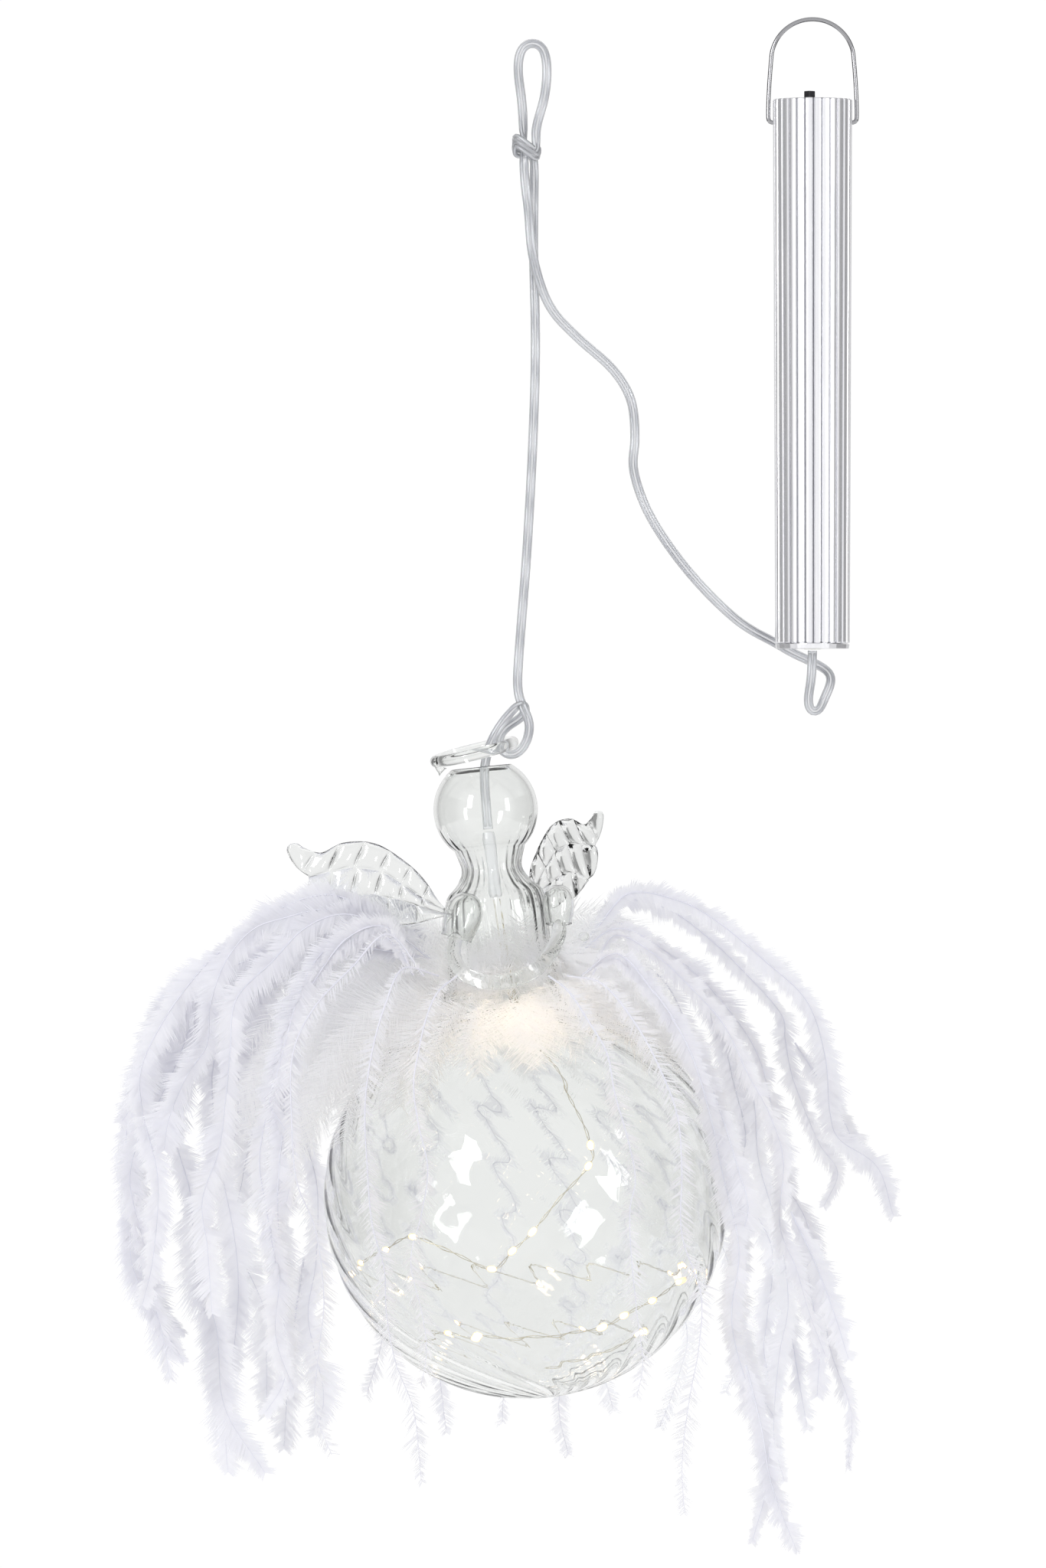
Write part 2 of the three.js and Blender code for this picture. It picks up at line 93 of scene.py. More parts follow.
def add_node(tree, kind, inputs=None, **settings):
    """A shader node with its settings, and its inputs set or linked."""
    made = tree.nodes.new("ShaderNode" + kind)
    for name, value in settings.items():
        setattr(made, name, value)
    for name, value in (inputs or {}).items():
        if isinstance(value, bpy.types.NodeSocket):
            tree.links.new(value, made.inputs[name])
        else:
            made.inputs[name].default_value = value
    return made


def place_camera():
    frame_height = 0.5038
    distance = 3.5
    camera = bpy.data.objects.new("camera", bpy.data.cameras.new("camera"))
    camera.data.sensor_width = 36
    camera.data.lens = camera.data.sensor_width * distance / frame_height
    camera.location = (-0.003, -distance, -0.2398)
    camera.rotation_euler = (math.pi / 2, 0, 0)
    scene.collection.objects.link(camera)
    scene.camera = camera


def light_studio():
    world = bpy.data.worlds.new("studio")
    scene.world = world
    world.use_nodes = True
    tree = world.node_tree
    tree.nodes.clear()
    split = add_node(tree, "SeparateXYZ", {0: add_node(tree, "TexCoord").outputs["Generated"]})
    rays = add_node(tree, "LightPath")
    # What glass and metal see, the brightest of four at each place: a lit backdrop straight behind that is
    # dark beyond its edges, a lit room in front between two grey walls, a ceiling and a pale floor.
    mirrored = 0.0
    for axis, start, end, at_start, at_end, course in (
        ("Y", 0.6, 0.94, 0.28, 0.87, "SMOOTHSTEP"), ("Y", -0.62, -0.1, 0.98, 0.26, "SMOOTHSTEP"),
        ("Z", 0.2, 0.9, 0, 0.75, "LINEAR"), ("Z", -0.3, -0.9, 0, 0.62, "LINEAR"),
    ):
        lit = add_node(tree, "MapRange", {
            "Value": split.outputs[axis], "From Min": start, "From Max": end, "To Min": at_start,
            "To Max": at_end,
        }, interpolation_type=course).outputs[0]
        mirrored = add_node(tree, "Math", {0: mirrored, 1: lit}, operation="MAXIMUM").outputs[0]
    # What lights matt things: an even soft dome, a little weaker from below and from the right.
    soft = 0.0
    for axis, at_low, at_high in (("Z", 0.72, 1.08), ("X", 0.08, -0.08)):
        lit = add_node(tree, "MapRange", {
            "Value": split.outputs[axis], "From Min": -1, "From Max": 1, "To Min": at_low, "To Max": at_high,
        }).outputs[0]
        soft = add_node(tree, "Math", {0: soft, 1: lit}, operation="ADD").outputs[0]
    unseen = add_node(tree, "Mix", {"Factor": rays.outputs["Is Diffuse Ray"], 2: mirrored, 3: soft},
                      data_type="FLOAT").outputs[0]
    strength = add_node(tree, "Mix", {"Factor": rays.outputs["Is Camera Ray"], 2: unseen, 3: 1.02},
                        data_type="FLOAT").outputs[0]
    sky = add_node(tree, "Background", {"Color": linear("#ffffff"), "Strength": strength})
    output = tree.nodes.new("ShaderNodeOutputWorld")
    tree.links.new(sky.outputs[0], output.inputs[0])

    for name, place, width, height, power in (
        ("soft_box_left", (-1.2, -1.6, 0.35), 0.34, 1.0, 11),
        ("soft_box_right", (1.5, -1.2, 0.1), 0.26, 0.9, 5),
    ):
        lamp = bpy.data.objects.new(name, bpy.data.lights.new(name, "AREA"))
        lamp.data.shape = "RECTANGLE"
        lamp.data.size = width
        lamp.data.size_y = height
        lamp.data.energy = power
        lamp.location = place
        lamp.rotation_euler = (Vector((0, 0, -0.3)) - Vector(place)).to_track_quat("-Z", "Y").to_euler()
        scene.collection.objects.link(lamp)


def principled(name, **inputs):
    """A material with one Principled shader, and that shader's node."""
    made = bpy.data.materials.new(name)
    made.use_nodes = True
    shader = made.node_tree.nodes["Principled BSDF"]
    for key, value in inputs.items():
        shader.inputs[key.replace("_", " ").title().replace("Ior", "IOR")].default_value = value
    return made, shader


def lay_floor():
    bm = bmesh.new()
    bmesh.ops.create_grid(bm, x_segments=4, y_segments=4, size=1.6)
    bmesh.ops.translate(bm, verts=bm.verts, vec=(0, 0, -0.85))
    mesh = bpy.data.meshes.new("floor")
    bm.to_mesh(mesh)
    bm.free()
    floor = bpy.data.objects.new("floor", mesh)
    scene.collection.objects.link(floor)
    # Painted studio board: an even matt white with a very faint roller texture.
    board, shader = principled("painted_board", roughness=0.9)
    tree = board.node_tree
    grain = add_node(tree, "TexNoise", {"Vector": add_node(tree, "TexCoord").outputs["Object"], "Scale": 9})
    tone = add_node(tree, "Mix", {"Factor": grain.outputs[0], 6: linear("#f0f0f0"), 7: linear("#f6f6f6")},
                    data_type="RGBA")
    tree.links.new(tone.outputs[2], shader.inputs["Base Color"])
    mesh.materials.append(board)


place_camera()
light_studio()
lay_floor()

# ---- supply cord -------------------------------------------------------------------------------
# A limp flat twin lead in clear PVC over two tinned strands. It leaves the foot of the battery tube,
# is tied into the hanging loop, runs down, takes a turn round the halo and goes into the head.

CORD_WIDTH = 3.0 * MM
CORD_LEAD = [
    (90, 0, -197), (89.6, 0, -206), (88.6, 0.4, -212.6), (89.3, 1, -216.4), (92, 1.8, -216.6),
    (93.8, 2.6, -212.5),
    (96.2, 4, -206.8), (95.2, 6.2, -203.6), (90.4, 10, -200.6), (84.5, 12.8, -197.8),
    (78.6, 13, -194.4), (65.9, 9, -187), (50.7, 4, -172), (38.1, 1, -154.2), (32.5, 0, -139),
    (33, 0, -128.9), (31.7, 0, -116.4), (25.6, 0, -106.3), (14.3, -0.6, -96.2), (5.4, -1.6, -86.1),
    (0.3, -2, -71), (-1.2, -1.9, -56), (-2.3, -1.8, -47), (-2.7, -1.7, -40.9),
]
CORD_THROUGH_KNOT = [(-2.6, -1.2, -37.6), (-2.4, 0, -35.4), (-2.6, 1.2, -33.2)]
CORD_LOOP = [
    (-2.8, 1.7, -31.2), (-3.3, 1.2, -21.2), (-4.6, 0.4, -10), (-3.4, 0, -3.4), (0.1, 0, -1.5),
    (3.5, 0, -3.4), (4.7, -0.4, -10), (3.9, -1, -19.2), (1.2, -2, -29.4),
]
CORD_DROP = [
    (0.6, 1.7, -40.9), (0.5, 1.7, -52), (0.4, 1.7, -68), (1, 0.6, -98.9), (0.2, 0, -128.9),
    (-1.7, 0, -164.3), (-4.2, 0, -197), (-4.7, -0.6, -209.3),
]
CORD_HITCH = [
    (-2.8, -1.8, -215.6), (-0.9, -2.2, -220), (-1.4, -1.8, -225), (-3.8, -1, -229.2), (-7.2, 0.6, -230.7),
    (-10.3, 2, -228.6), (-10.8, 2.4, -224.6), (-8, 2.6, -221.2), (-4, 2.4, -218.8), (-1.8, 1, -215.8),
    (-3.4, -1.2, -213.6), (-6.4, -2.4, -216.2), (-10.2, -2.6, -220.9), (-13, -2.2, -225.8),
]
CORD_TAIL = [
    (-14.6, -1.4, -230.4), (-15.4, -0.4, -235), (-15.3, 0, -240.5), (-14.8, 0, -247), (-14.25, 0, -254.3),
]
KNOT = Vector((-1.9, 0, -35.8))


def knot_turns():
    """The wrap of the knot: a turn and three quarters, slanting down from its left to its right."""
    turns = []
    steps = 22
    for i in range(steps + 1):
        share = i / steps
        angle = math.radians(-35 - 625 * share)
        x, y = 4.0 * math.cos(angle), 3.3 * math.sin(angle)
        slant = -0.8 * x if y < 0 else 0.15 * x
        turns.append((KNOT.x + x, y, KNOT.z + slant + 1.4 - 2.8 * share))
    return turns


def smooth_route(points, spacing):
    """Evenly spaced points on the curve through points."""
    ends = [2 * points[0] - points[1]] + list(points) + [2 * points[-1] - points[-2]]
    fine = []
    for a, b, c, d in zip(ends, ends[1:], ends[2:], ends[3:]):
        for step in range(16):
            t = step / 16
            fine.append(0.5 * (2 * b + (c - a) * t + (2 * a - 5 * b + 4 * c - d) * t * t
                               + (3 * b - a - 3 * c + d) * t ** 3))
    fine.append(points[-1])
    reach = [0]
    for a, b in zip(fine, fine[1:]):
        reach.append(reach[-1] + (b - a).length)
    count = max(2, round(reach[-1] / spacing))
    route = []
    at = 0
    for i in range(count + 1):
        goal = reach[-1] * i / count
        while at < len(fine) - 2 and reach[at + 1] < goal:
            at += 1
        share = (goal - reach[at]) / max(reach[at + 1] - reach[at], 1e-9)
        route.append(fine[at].lerp(fine[at + 1], min(max(share, 0), 1)))
    return route


def straight_back(point):
    return Vector((0, 1, 0))


def frames_along(route, facing=straight_back, settle=0.25):
    """(tangent, side, lift) at each point; the side turns smoothly and keeps off the facing direction."""
    frames = []
    side = None
    for i, point in enumerate(route):
        tangent = (route[min(i + 1, len(route) - 1)] - route[max(i - 1, 0)]).normalized()
        wanted = tangent.cross(facing(point))
        if side is None:
            side = wanted.normalized() if wanted.length > 0.05 else tangent.orthogonal().normalized()
        side = (side - tangent * side.dot(tangent)).normalized()
        if wanted.length > 0.05 and settle:
            if wanted.dot(side) < 0:
                wanted = -wanted
            side = side.lerp(wanted.normalized(), settle * wanted.length).normalized()
            side = (side - tangent * side.dot(tangent)).normalized()
        frames.append((tangent, side, tangent.cross(side)))
    return frames


def placed(point, frame, scale=1):
    """The matrix that carries a flat section to a point of a route."""
    tangent, side, lift = frame
    turned = Matrix((side * scale, lift * scale, tangent * scale)).transposed().to_4x4()
    return Matrix.Translation(point) @ turned


def grow(bm, ring, matrix):
    """Extrudes a ring of edges, moves the new ring by the matrix and returns it."""
    made = bmesh.ops.extrude_edge_only(bm, edges=ring)["geom"]
    verts = [g for g in made if isinstance(g, bmesh.types.BMVert)]
    bmesh.ops.transform(bm, matrix=matrix, verts=verts)
    fresh = set(verts)
    return [g for g in made if isinstance(g, bmesh.types.BMEdge) and fresh.issuperset(g.verts)]


def sweep(bm, route, frames, section, scales=None):
    """A section of (side, lift) points extruded along the route, with its two ends filled."""
    scales = scales or [1] * len(route)
    places = [placed(*step) for step in zip(route, frames, scales)]
    verts = [bm.verts.new(places[0] @ Vector((x, y, 0))) for x, y in section]
    ring = [bm.edges.new(pair) for pair in zip(verts, verts[1:] + verts[:1])]
    bmesh.ops.edgeloop_fill(bm, edges=ring)
    for before, after in zip(places, places[1:]):
        ring = grow(bm, ring, after @ before.inverted())
    bmesh.ops.edgeloop_fill(bm, edges=ring)


def finish_piece(name, bm, materials, smooth=True):
    """A named object at the origin from a bmesh, which is freed."""
    mesh = bpy.data.meshes.new(name)
    bm.to_mesh(mesh)
    bm.free()
    for polygon in mesh.polygons:
        polygon.use_smooth = smooth
    for each in materials:
        mesh.materials.append(each)
    made = bpy.data.objects.new(name, mesh)
    scene.collection.objects.link(made)
    return made


def round_section(radius, sides):
    return [(radius * math.cos(2 * math.pi * k / sides), radius * math.sin(2 * math.pi * k / sides))
            for k in range(sides)]


def uneven_gloss(made, shader, patch, detail, low, high):
    """The material, its roughness wandering between low and high in patches of that size in metres."""
    tree = made.node_tree
    wear = add_node(tree, "TexNoise", {
        "Vector": add_node(tree, "TexCoord").outputs["Object"], "Scale": 1 / patch, "Detail": detail,
    })
    rough = add_node(tree, "MapRange", {"Value": wear.outputs[0], "To Min": low, "To Max": high})
    tree.links.new(rough.outputs[0], shader.inputs["Roughness"])
    return made


def clear_pvc():
    """Extruded soft PVC: clear, faintly grey, with the soft gloss and slight haze of a handled lead."""
    made, shader = principled(
        "clear_pvc", base_color=linear("#f3f4f7"), roughness=0.12, ior=1.45, transmission_weight=0.8,
        specular_ior_level=0.5,
    )
    return uneven_gloss(made, shader, 4 * MM, 3, 0.08, 0.24)


def tinned_strand():
    """Tinned copper strand: bright silver, with the fine diagonal lines of its lay."""
    made, shader = principled(
        "tinned_strand", base_color=linear("#c4c6ca"), metallic=1, roughness=0.32,
    )
    tree = made.node_tree
    lay = add_node(tree, "TexWave", {
        "Vector": add_node(tree, "TexCoord").outputs["Object"], "Scale": 1 / (1.2 * MM) / 20,
        "Distortion": 2,
    }, bands_direction="DIAGONAL")
    tone = add_node(tree, "Mix", {"Factor": lay.outputs[1], 6: linear("#b4b6bc"), 7: linear("#e6e8ea")},
                    data_type="RGBA")
    tree.links.new(tone.outputs[2], shader.inputs["Base Color"])
    return made


def knot_facing(point):
    """Outwards from the knot where the cord wraps round it, elsewhere straight back."""
    away = point - KNOT * MM
    if abs(away.z) < 4.6 * MM:
        return Vector((away.x, away.y, 0)).normalized()
    return straight_back(point)


def eased(route, passes):
    """The route with its sharpest turns rounded off, as the lead's own stiffness does; its ends stay."""
    for _ in range(passes):
        middle = [(a + 2 * b + c) / 4 for a, b, c in zip(route, route[1:], route[2:])]
        route = route[:1] + middle + route[-1:]
    return route


def make_cord():
    points = [Vector(p) * MM for p in CORD_LEAD + CORD_THROUGH_KNOT + CORD_LOOP + knot_turns()
              + CORD_DROP + CORD_HITCH + CORD_TAIL]
    spacing = 0.8 * MM
    route = smooth_route(eased(smooth_route(points, spacing), 10), spacing)
    frames = frames_along(route, knot_facing)
    # The section is two round lobes side by side, each over one strand.
    lobe, strand_radius = 0.8 * MM, 0.36 * MM
    offset = CORD_WIDTH / 2 - lobe
    waist = math.degrees(math.acos(-offset / lobe))
    section = []
    for centre, start in ((offset, -waist), (-offset, 180 - waist)):
        for k in range(9):
            angle = math.radians(start + 2 * waist * (k + 0.5) / 9)
            section.append((centre + lobe * math.cos(angle), lobe * math.sin(angle)))
    bm = bmesh.new()
    sweep(bm, route, frames, section)
    bmesh.ops.recalc_face_normals(bm, faces=bm.faces)
    sheath = finish_piece("cord_sheath", bm, [clear_pvc()])

    bm = bmesh.new()
    for shift in (-offset, offset):
        strand = [point + side * shift for point, (_, side, _) in zip(route, frames)]
        sweep(bm, strand[1:-1], frames[1:-1], round_section(strand_radius, 6))
    bmesh.ops.recalc_face_normals(bm, faces=bm.faces)
    strands = finish_piece("cord_strands", bm, [tinned_strand()])

    for piece in (sheath, strands):
        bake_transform(piece)
    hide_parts("cord_lead", "cord_knot", "cord_loop", "cord_drop", "cord_hitch", "cord_tail")


make_cord()

# ---- glass body --------------------------------------------------------------------------------
# Mouth-blown clear soda glass: ball, bust and head in one hollow piece, open at the crown. It was
# blown in a ribbed mould and twisted, so the ribs swirl down the ball to one point at its foot.

ball_low, ball_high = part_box("glass_ball")
BALL_RADIUS = (ball_high.x - ball_low.x) / 2
BALL_CENTER = Vector(((ball_low.x + ball_high.x) / 2, 0, ball_low.z + BALL_RADIUS))
GLASS_WALL = 1.5 * MM
IN_PLACE = Matrix.Translation(BALL_CENTER) @ Matrix.Rotation(math.radians(-6), 4, "Y")
RIBS = 24
# The bust from its neck to the ball, as (radius, height over the ball's centre) in mm.
BUST = [(9.5, 106), (11.9, 101.2), (15.2, 97.8), (16.3, 92), (16.3, 80), (18, 73), (20.4, 67.4),
        (24.3, 60.2)]


def soda_glass():
    """Clear blown soda glass: fire-polished gloss, faint seed and cords in it, a warm grey in its depth."""
    made, shader = principled(
        "blown_soda_glass", base_color=linear("#fbfcfb"), roughness=0.0, ior=1.5, transmission_weight=1,
        specular_ior_level=0.5,
    )
    tree = made.node_tree
    place = add_node(tree, "TexCoord").outputs["Object"]
    cords = add_node(tree, "TexNoise", {"Vector": place, "Scale": 1 / (16 * MM), "Detail": 1})
    wave = add_node(tree, "Bump", {"Height": cords.outputs[0], "Strength": 0.12, "Distance": 0.4 * MM})
    tree.links.new(wave.outputs[0], shader.inputs["Normal"])
    lamp_ray = add_node(tree, "LightPath").outputs["Is Shadow Ray"]
    pass_light = add_node(tree, "BsdfTransparent", {"Color": linear("#f4f5f3")})
    both = add_node(tree, "MixShader", {0: lamp_ray, 1: shader.outputs[0], 2: pass_light.outputs[0]})
    tree.links.new(both.outputs[0], tree.nodes["Material Output"].inputs["Surface"])
    return made


GLASS = soda_glass()


def arc(radius, centre, start, end, steps):
    """(radius, height) points of an arc, its angles measured from the top in degrees."""
    angles = [math.radians(start + (end - start) * i / steps) for i in range(steps + 1)]
    return [(radius * math.sin(a), centre + radius * math.cos(a)) for a in angles]


def smooth_outline(points, spacing):
    route = smooth_route([Vector((x * MM, 0, z * MM)) for x, z in points], spacing)
    return [(p.x, p.z) for p in route]


def spun(bm, outline, steps):
    """A surface of revolution about Z from an outline of (radius, height) points in metres."""
    verts = [bm.verts.new((radius, 0, height)) for radius, height in outline]
    edges = [bm.edges.new(pair) for pair in zip(verts, verts[1:])]
    bmesh.ops.spin(bm, geom=verts + edges, cent=(0, 0, 0), axis=(0, 0, 1), angle=2 * math.pi,
                   steps=steps, use_merge=True)
    bmesh.ops.remove_doubles(bm, verts=bm.verts, dist=0.002 * MM)


def rib_height(place):
    """How far a rib stands out at a point of the body, in metres; the swirl starts below the bust."""
    height = place.z / MM
    around = math.atan2(place.y, place.x)
    if height > 60:
        swirl = 0.12 * (139 - height) / 79
        depth = 0.34 * min(1, max(0, (122 - height) / 22))
    else:
        down = math.acos(max(-1, min(1, place.z / place.length)))
        swirl = 0.12 + 1.12 * (down - math.radians(22))
        depth = 0.52 * min(1, 0.35 + abs(math.sin(down)))
    ridge = (0.5 + 0.5 * math.cos(RIBS * (around - swirl))) ** 2
    wobble = 0.1 * noise.noise(place / (34 * MM))
    return (depth * (ridge - 0.3) + wobble) * MM


def fire_polish(bm, centre, reach):
    """Rounds the square rim of a blown mouth that lies within reach of centre."""
    sharp = [e for e in bm.edges if e.calc_face_angle(0) > 0.9
             and all((v.co - centre).length < reach for v in e.verts)]
    bmesh.ops.bevel(bm, geom=sharp, offset=0.55 * MM, affect="EDGES", segments=4, profile=0.5, material=-1)


def make_glass_body():
    head = arc(16.8, 125, 33.5, 138, 40)
    bust = smooth_outline([head[-1]] + BUST, 1.4 * MM)
    ball = arc(64.8, 0, 23.4, 179.4, 74)
    outer = [(x * MM, z * MM) for x, z in head[:-1]] + bust + [(x * MM, z * MM) for x, z in ball]
    bm = bmesh.new()
    spun(bm, outer, 312)
    foot = [e for e in bm.edges if e.is_boundary and e.verts[0].co.z < 0]
    bmesh.ops.holes_fill(bm, edges=foot, sides=0)
    bmesh.ops.recalc_face_normals(bm, faces=bm.faces)
    if sum(f.normal.dot(f.calc_center_median()) for f in bm.faces) < 0:
        bmesh.ops.reverse_faces(bm, faces=bm.faces)
    first_wall = set(bm.verts)
    bmesh.ops.solidify(bm, geom=bm.faces[:], thickness=GLASS_WALL)
    second_wall = set(bm.verts) - first_wall

    def girth(wall):
        return sum(Vector((v.co.x, v.co.y)).length for v in wall) / len(wall)

    outside = first_wall if girth(first_wall) > girth(second_wall) else second_wall
    for vert in bm.verts:
        # The ribs stand out on the outside of the wall, and the inside follows them at half their depth.
        flat = Vector((vert.co.x, vert.co.y, 0))
        outward = vert.co.normalized() if vert.co.z < 60 * MM else flat.normalized()
        if flat.length > 1 * MM:
            vert.co += outward * rib_height(vert.co) * (1 if vert in outside else 0.5)
    fire_polish(bm, Vector((0, 0, 139)) * MM, 11 * MM)
    bmesh.ops.transform(bm, matrix=IN_PLACE, verts=bm.verts)
    body = finish_piece("glass_body", bm, [GLASS])
    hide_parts("glass_ball", "glass_head_and_bust")
    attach(body, "angel")


make_glass_body()

# ---- halo --------------------------------------------------------------------------------------
# A solid glass rod bent into a ring in the flame and fused to the crown by a short stem.

HALO_CENTER = Vector((-18.6, 0, -229.5)) * MM
HALO_RADIUS = 12.7 * MM
HALO_ROD_RADIUS = 1.9 * MM


def make_halo():
    bm = bmesh.new()
    upright = Matrix.Translation((HALO_RADIUS, 0, 0)) @ Matrix.Rotation(math.pi / 2, 4, "X")
    bmesh.ops.create_circle(bm, segments=24, radius=HALO_ROD_RADIUS, matrix=upright)
    bmesh.ops.spin(bm, geom=bm.verts[:] + bm.edges[:], cent=(0, 0, 0), axis=(0, 0, 1), angle=2 * math.pi,
                   steps=128, use_merge=True)
    for vert in bm.verts:
        # Drawn by hand, so the ring is a little out of round and the rod a little uneven.
        vert.co *= 1 + 0.012 * math.sin(3 * math.atan2(vert.co.y, vert.co.x))
    tilt = Matrix.Rotation(math.radians(-14), 4, "Y")
    nod = Matrix.Rotation(math.radians(4), 4, "X")
    bmesh.ops.transform(bm, matrix=Matrix.Translation(HALO_CENTER) @ tilt @ nod, verts=bm.verts)
    stem = smooth_route([Vector(p) * MM for p in
                         ((-30.9, 0, -232.4), (-30.4, 0, -233.8), (-29.6, 0, -235.1), (-28.7, 0, -236))],
                        0.3 * MM)
    count = len(stem)
    waist = [1 + 0.5 * (2 * i / (count - 1) - 1) ** 2 for i in range(count)]
    sweep(bm, stem, frames_along(stem), round_section(1.15 * MM, 20), waist)
    bmesh.ops.recalc_face_normals(bm, faces=bm.faces)
    piece = finish_piece("halo_ring", bm, [GLASS])
    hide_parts("halo")
    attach(piece, "angel")


make_halo()

# ---- wings -------------------------------------------------------------------------------------
# Two pressed glass wings, gathered hot and squeezed between patterned jaws, which left three rows of
# padded cells on both faces and a thick curled tip. Each is fused to the back by its narrow root.

# Edges and row lines as (distance from the body's axis, height over the ball's centre), root to tip.
WING_FOOT = [(16.4, 92.2), (30, 90.8), (43.4, 93.2), (48, 95.2), (52.7, 98.6)]
WING_LOWER_LINE = [(16.4, 93.2), (24, 96.2), (32, 99.4), (40, 101.6), (47, 101.4), (52.7, 98.6)]
WING_LOBE = [(52.7, 98.6), (57.2, 100.6), (59.5, 105), (59, 109.4)]
WING_UPPER_LINE = [(16.4, 94.2), (22, 98), (29.3, 104), (36, 108.8), (45, 111), (50, 110.6), (59, 109.4)]
WING_HORN = [(59, 109.4), (62.7, 112.8), (64.9, 117), (65.1, 119.4), (63.9, 120.6)]
WING_TOP = [(16.4, 95), (18.3, 97.6), (22.4, 105.2), (28.3, 111.8), (36.7, 117.9), (46.5, 119.2),
            (54.1, 116.8), (59.2, 118.6), (61.8, 120.5), (63.9, 120.6)]
ROW_STEPS = (168, 38, 44)


def evenly(outline, steps):
    """steps + 1 evenly spaced points on the smooth curve through an outline."""
    fine = smooth_route([Vector((x, 0, z)) for x, z in outline], 0.1)
    return [fine[round(i * (len(fine) - 1) / steps)] for i in range(steps + 1)]


def add_wing_row(bm, half, low, high, low_inner, high_inner, cells):
    """One row of padded cells between two lines; half is the layer that keeps half the thickness."""
    across = 22
    rows = []
    for i, (a, b) in enumerate(zip(low, high)):
        share = i / (len(low) - 1)
        pad = 0.08 + 0.92 * abs(math.sin(math.pi * cells * min(share, 0.5 / cells + 1 - 1 / cells))) ** 0.5
        if share > 0.95:
            pad *= max(0.15, math.sqrt(max(0, 1 - ((share - 0.95) / 0.05) ** 2)))
        row = []
        for k in range(across + 1):
            u = k / across
            edge = (0.42 if i <= low_inner else 0.2) * (1 - u) + (0.42 if high_inner else 0.2) * u
            crown = math.sin(math.pi * u) ** 0.55
            vert = bm.verts.new(a.lerp(b, u) * MM)
            vert[half] = (edge * (1 - crown) + 1.4 * crown * pad) * MM
            row.append(vert)
        rows.append(row)
    for first, second in zip(rows, rows[1:]):
        for k in range(across):
            bm.faces.new((first[k], second[k], second[k + 1], first[k + 1]))


def make_wing(name, node, azimuth):
    lower, lobe_steps, horn_steps = ROW_STEPS
    middle = lower + lobe_steps
    lower_line = evenly(WING_LOWER_LINE, lower)
    upper_line = evenly(WING_UPPER_LINE, middle)
    bm = bmesh.new()
    half = bm.verts.layers.float.new("half_thickness")
    add_wing_row(bm, half, evenly(WING_FOOT, lower), lower_line, -1, True, 4)
    add_wing_row(bm, half, lower_line + evenly(WING_LOBE, lobe_steps)[1:], upper_line, lower, True, 6)
    add_wing_row(bm, half, upper_line + evenly(WING_HORN, horn_steps)[1:],
                 evenly(WING_TOP, middle + horn_steps), middle, False, 7)
    bmesh.ops.remove_doubles(bm, verts=bm.verts, dist=0.02 * MM)
    bmesh.ops.dissolve_degenerate(bm, edges=bm.edges, dist=0.01 * MM)
    bmesh.ops.recalc_face_normals(bm, faces=bm.faces)
    bmesh.ops.solidify(bm, geom=bm.faces[:], thickness=0.1 * MM)
    sides = [vert.co.y for vert in bm.verts]
    middle_plane = (min(sides) + max(sides)) / 2
    for vert in bm.verts:
        vert.co.y = vert[half] if vert.co.y > middle_plane else -vert[half]
    bmesh.ops.smooth_vert(bm, verts=bm.verts, factor=0.35, use_axis_y=True)
    bmesh.ops.recalc_face_normals(bm, faces=bm.faces)
    bmesh.ops.transform(bm, matrix=IN_PLACE @ Matrix.Rotation(math.radians(azimuth), 4, "Z"), verts=bm.verts)
    piece = finish_piece(name, bm, [GLASS])
    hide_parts(node)
    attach(piece, "angel")


make_wing("pressed_wing_left", "wing_left", 175)
make_wing("pressed_wing_right", "wing_right", 55)

# ---- arms --------------------------------------------------------------------------------------
# Two small blown bells for sleeves, and one bent glass rod for both forearms, its ends fused inside
# the bells. A drop of clear glass was left among the feathers at the right.


def make_sleeve(name, node, shoulder, wrist, scale):
    outside = smooth_outline([(0.02, 0), (2.2, -0.3), (4.4, -1.9), (5.8, -4.6), (6.1, -7.4), (5.7, -11),
                              (5.1, -14), (5, -15)], 0.4 * MM)
    bm = bmesh.new()
    spun(bm, outside, 64)
    bmesh.ops.recalc_face_normals(bm, faces=bm.faces)
    if sum(f.normal.z for f in bm.faces) < 0:
        bmesh.ops.reverse_faces(bm, faces=bm.faces)
    bmesh.ops.solidify(bm, geom=bm.faces[:], thickness=0.9 * MM)
    reach = (Vector(wrist) - Vector(shoulder)).normalized()
    turn = Vector((0, 0, -1)).rotation_difference(reach).to_matrix().to_4x4()
    place = IN_PLACE @ Matrix.Translation(Vector(shoulder) * MM) @ turn @ Matrix.Scale(scale, 4)
    bmesh.ops.transform(bm, matrix=place, verts=bm.verts)
    piece = finish_piece(name, bm, [GLASS])
    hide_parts(node)
    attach(piece, "angel")


def make_arm_rod():
    points = [(-13.2, -20.6, 87), (-15, -19.8, 80), (-12.6, -20.4, 74), (-6.5, -22.9, 70.6),
              (1, -23.8, 69.8), (9.8, -21.5, 72), (15.8, -16, 77), (19.2, -11, 83), (19.6, -10.2, 87.5)]
    route = smooth_route([IN_PLACE @ (Vector(p) * MM) for p in points], 0.6 * MM)
    count = len(route)
    rounded = 4
    inward = [min(i, count - 1 - i, rounded) for i in range(count)]
    ends = [math.sqrt(max(0.02, 1 - (1 - i / rounded) ** 2)) for i in inward]
    bm = bmesh.new()
    rod_radius = 2.35 * MM
    sweep(bm, route, frames_along(route), round_section(rod_radius, 24), ends)
    bmesh.ops.recalc_face_normals(bm, faces=bm.faces)
    piece = finish_piece("forearm_rod", bm, [GLASS])
    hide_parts("arm_rod")
    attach(piece, "angel")


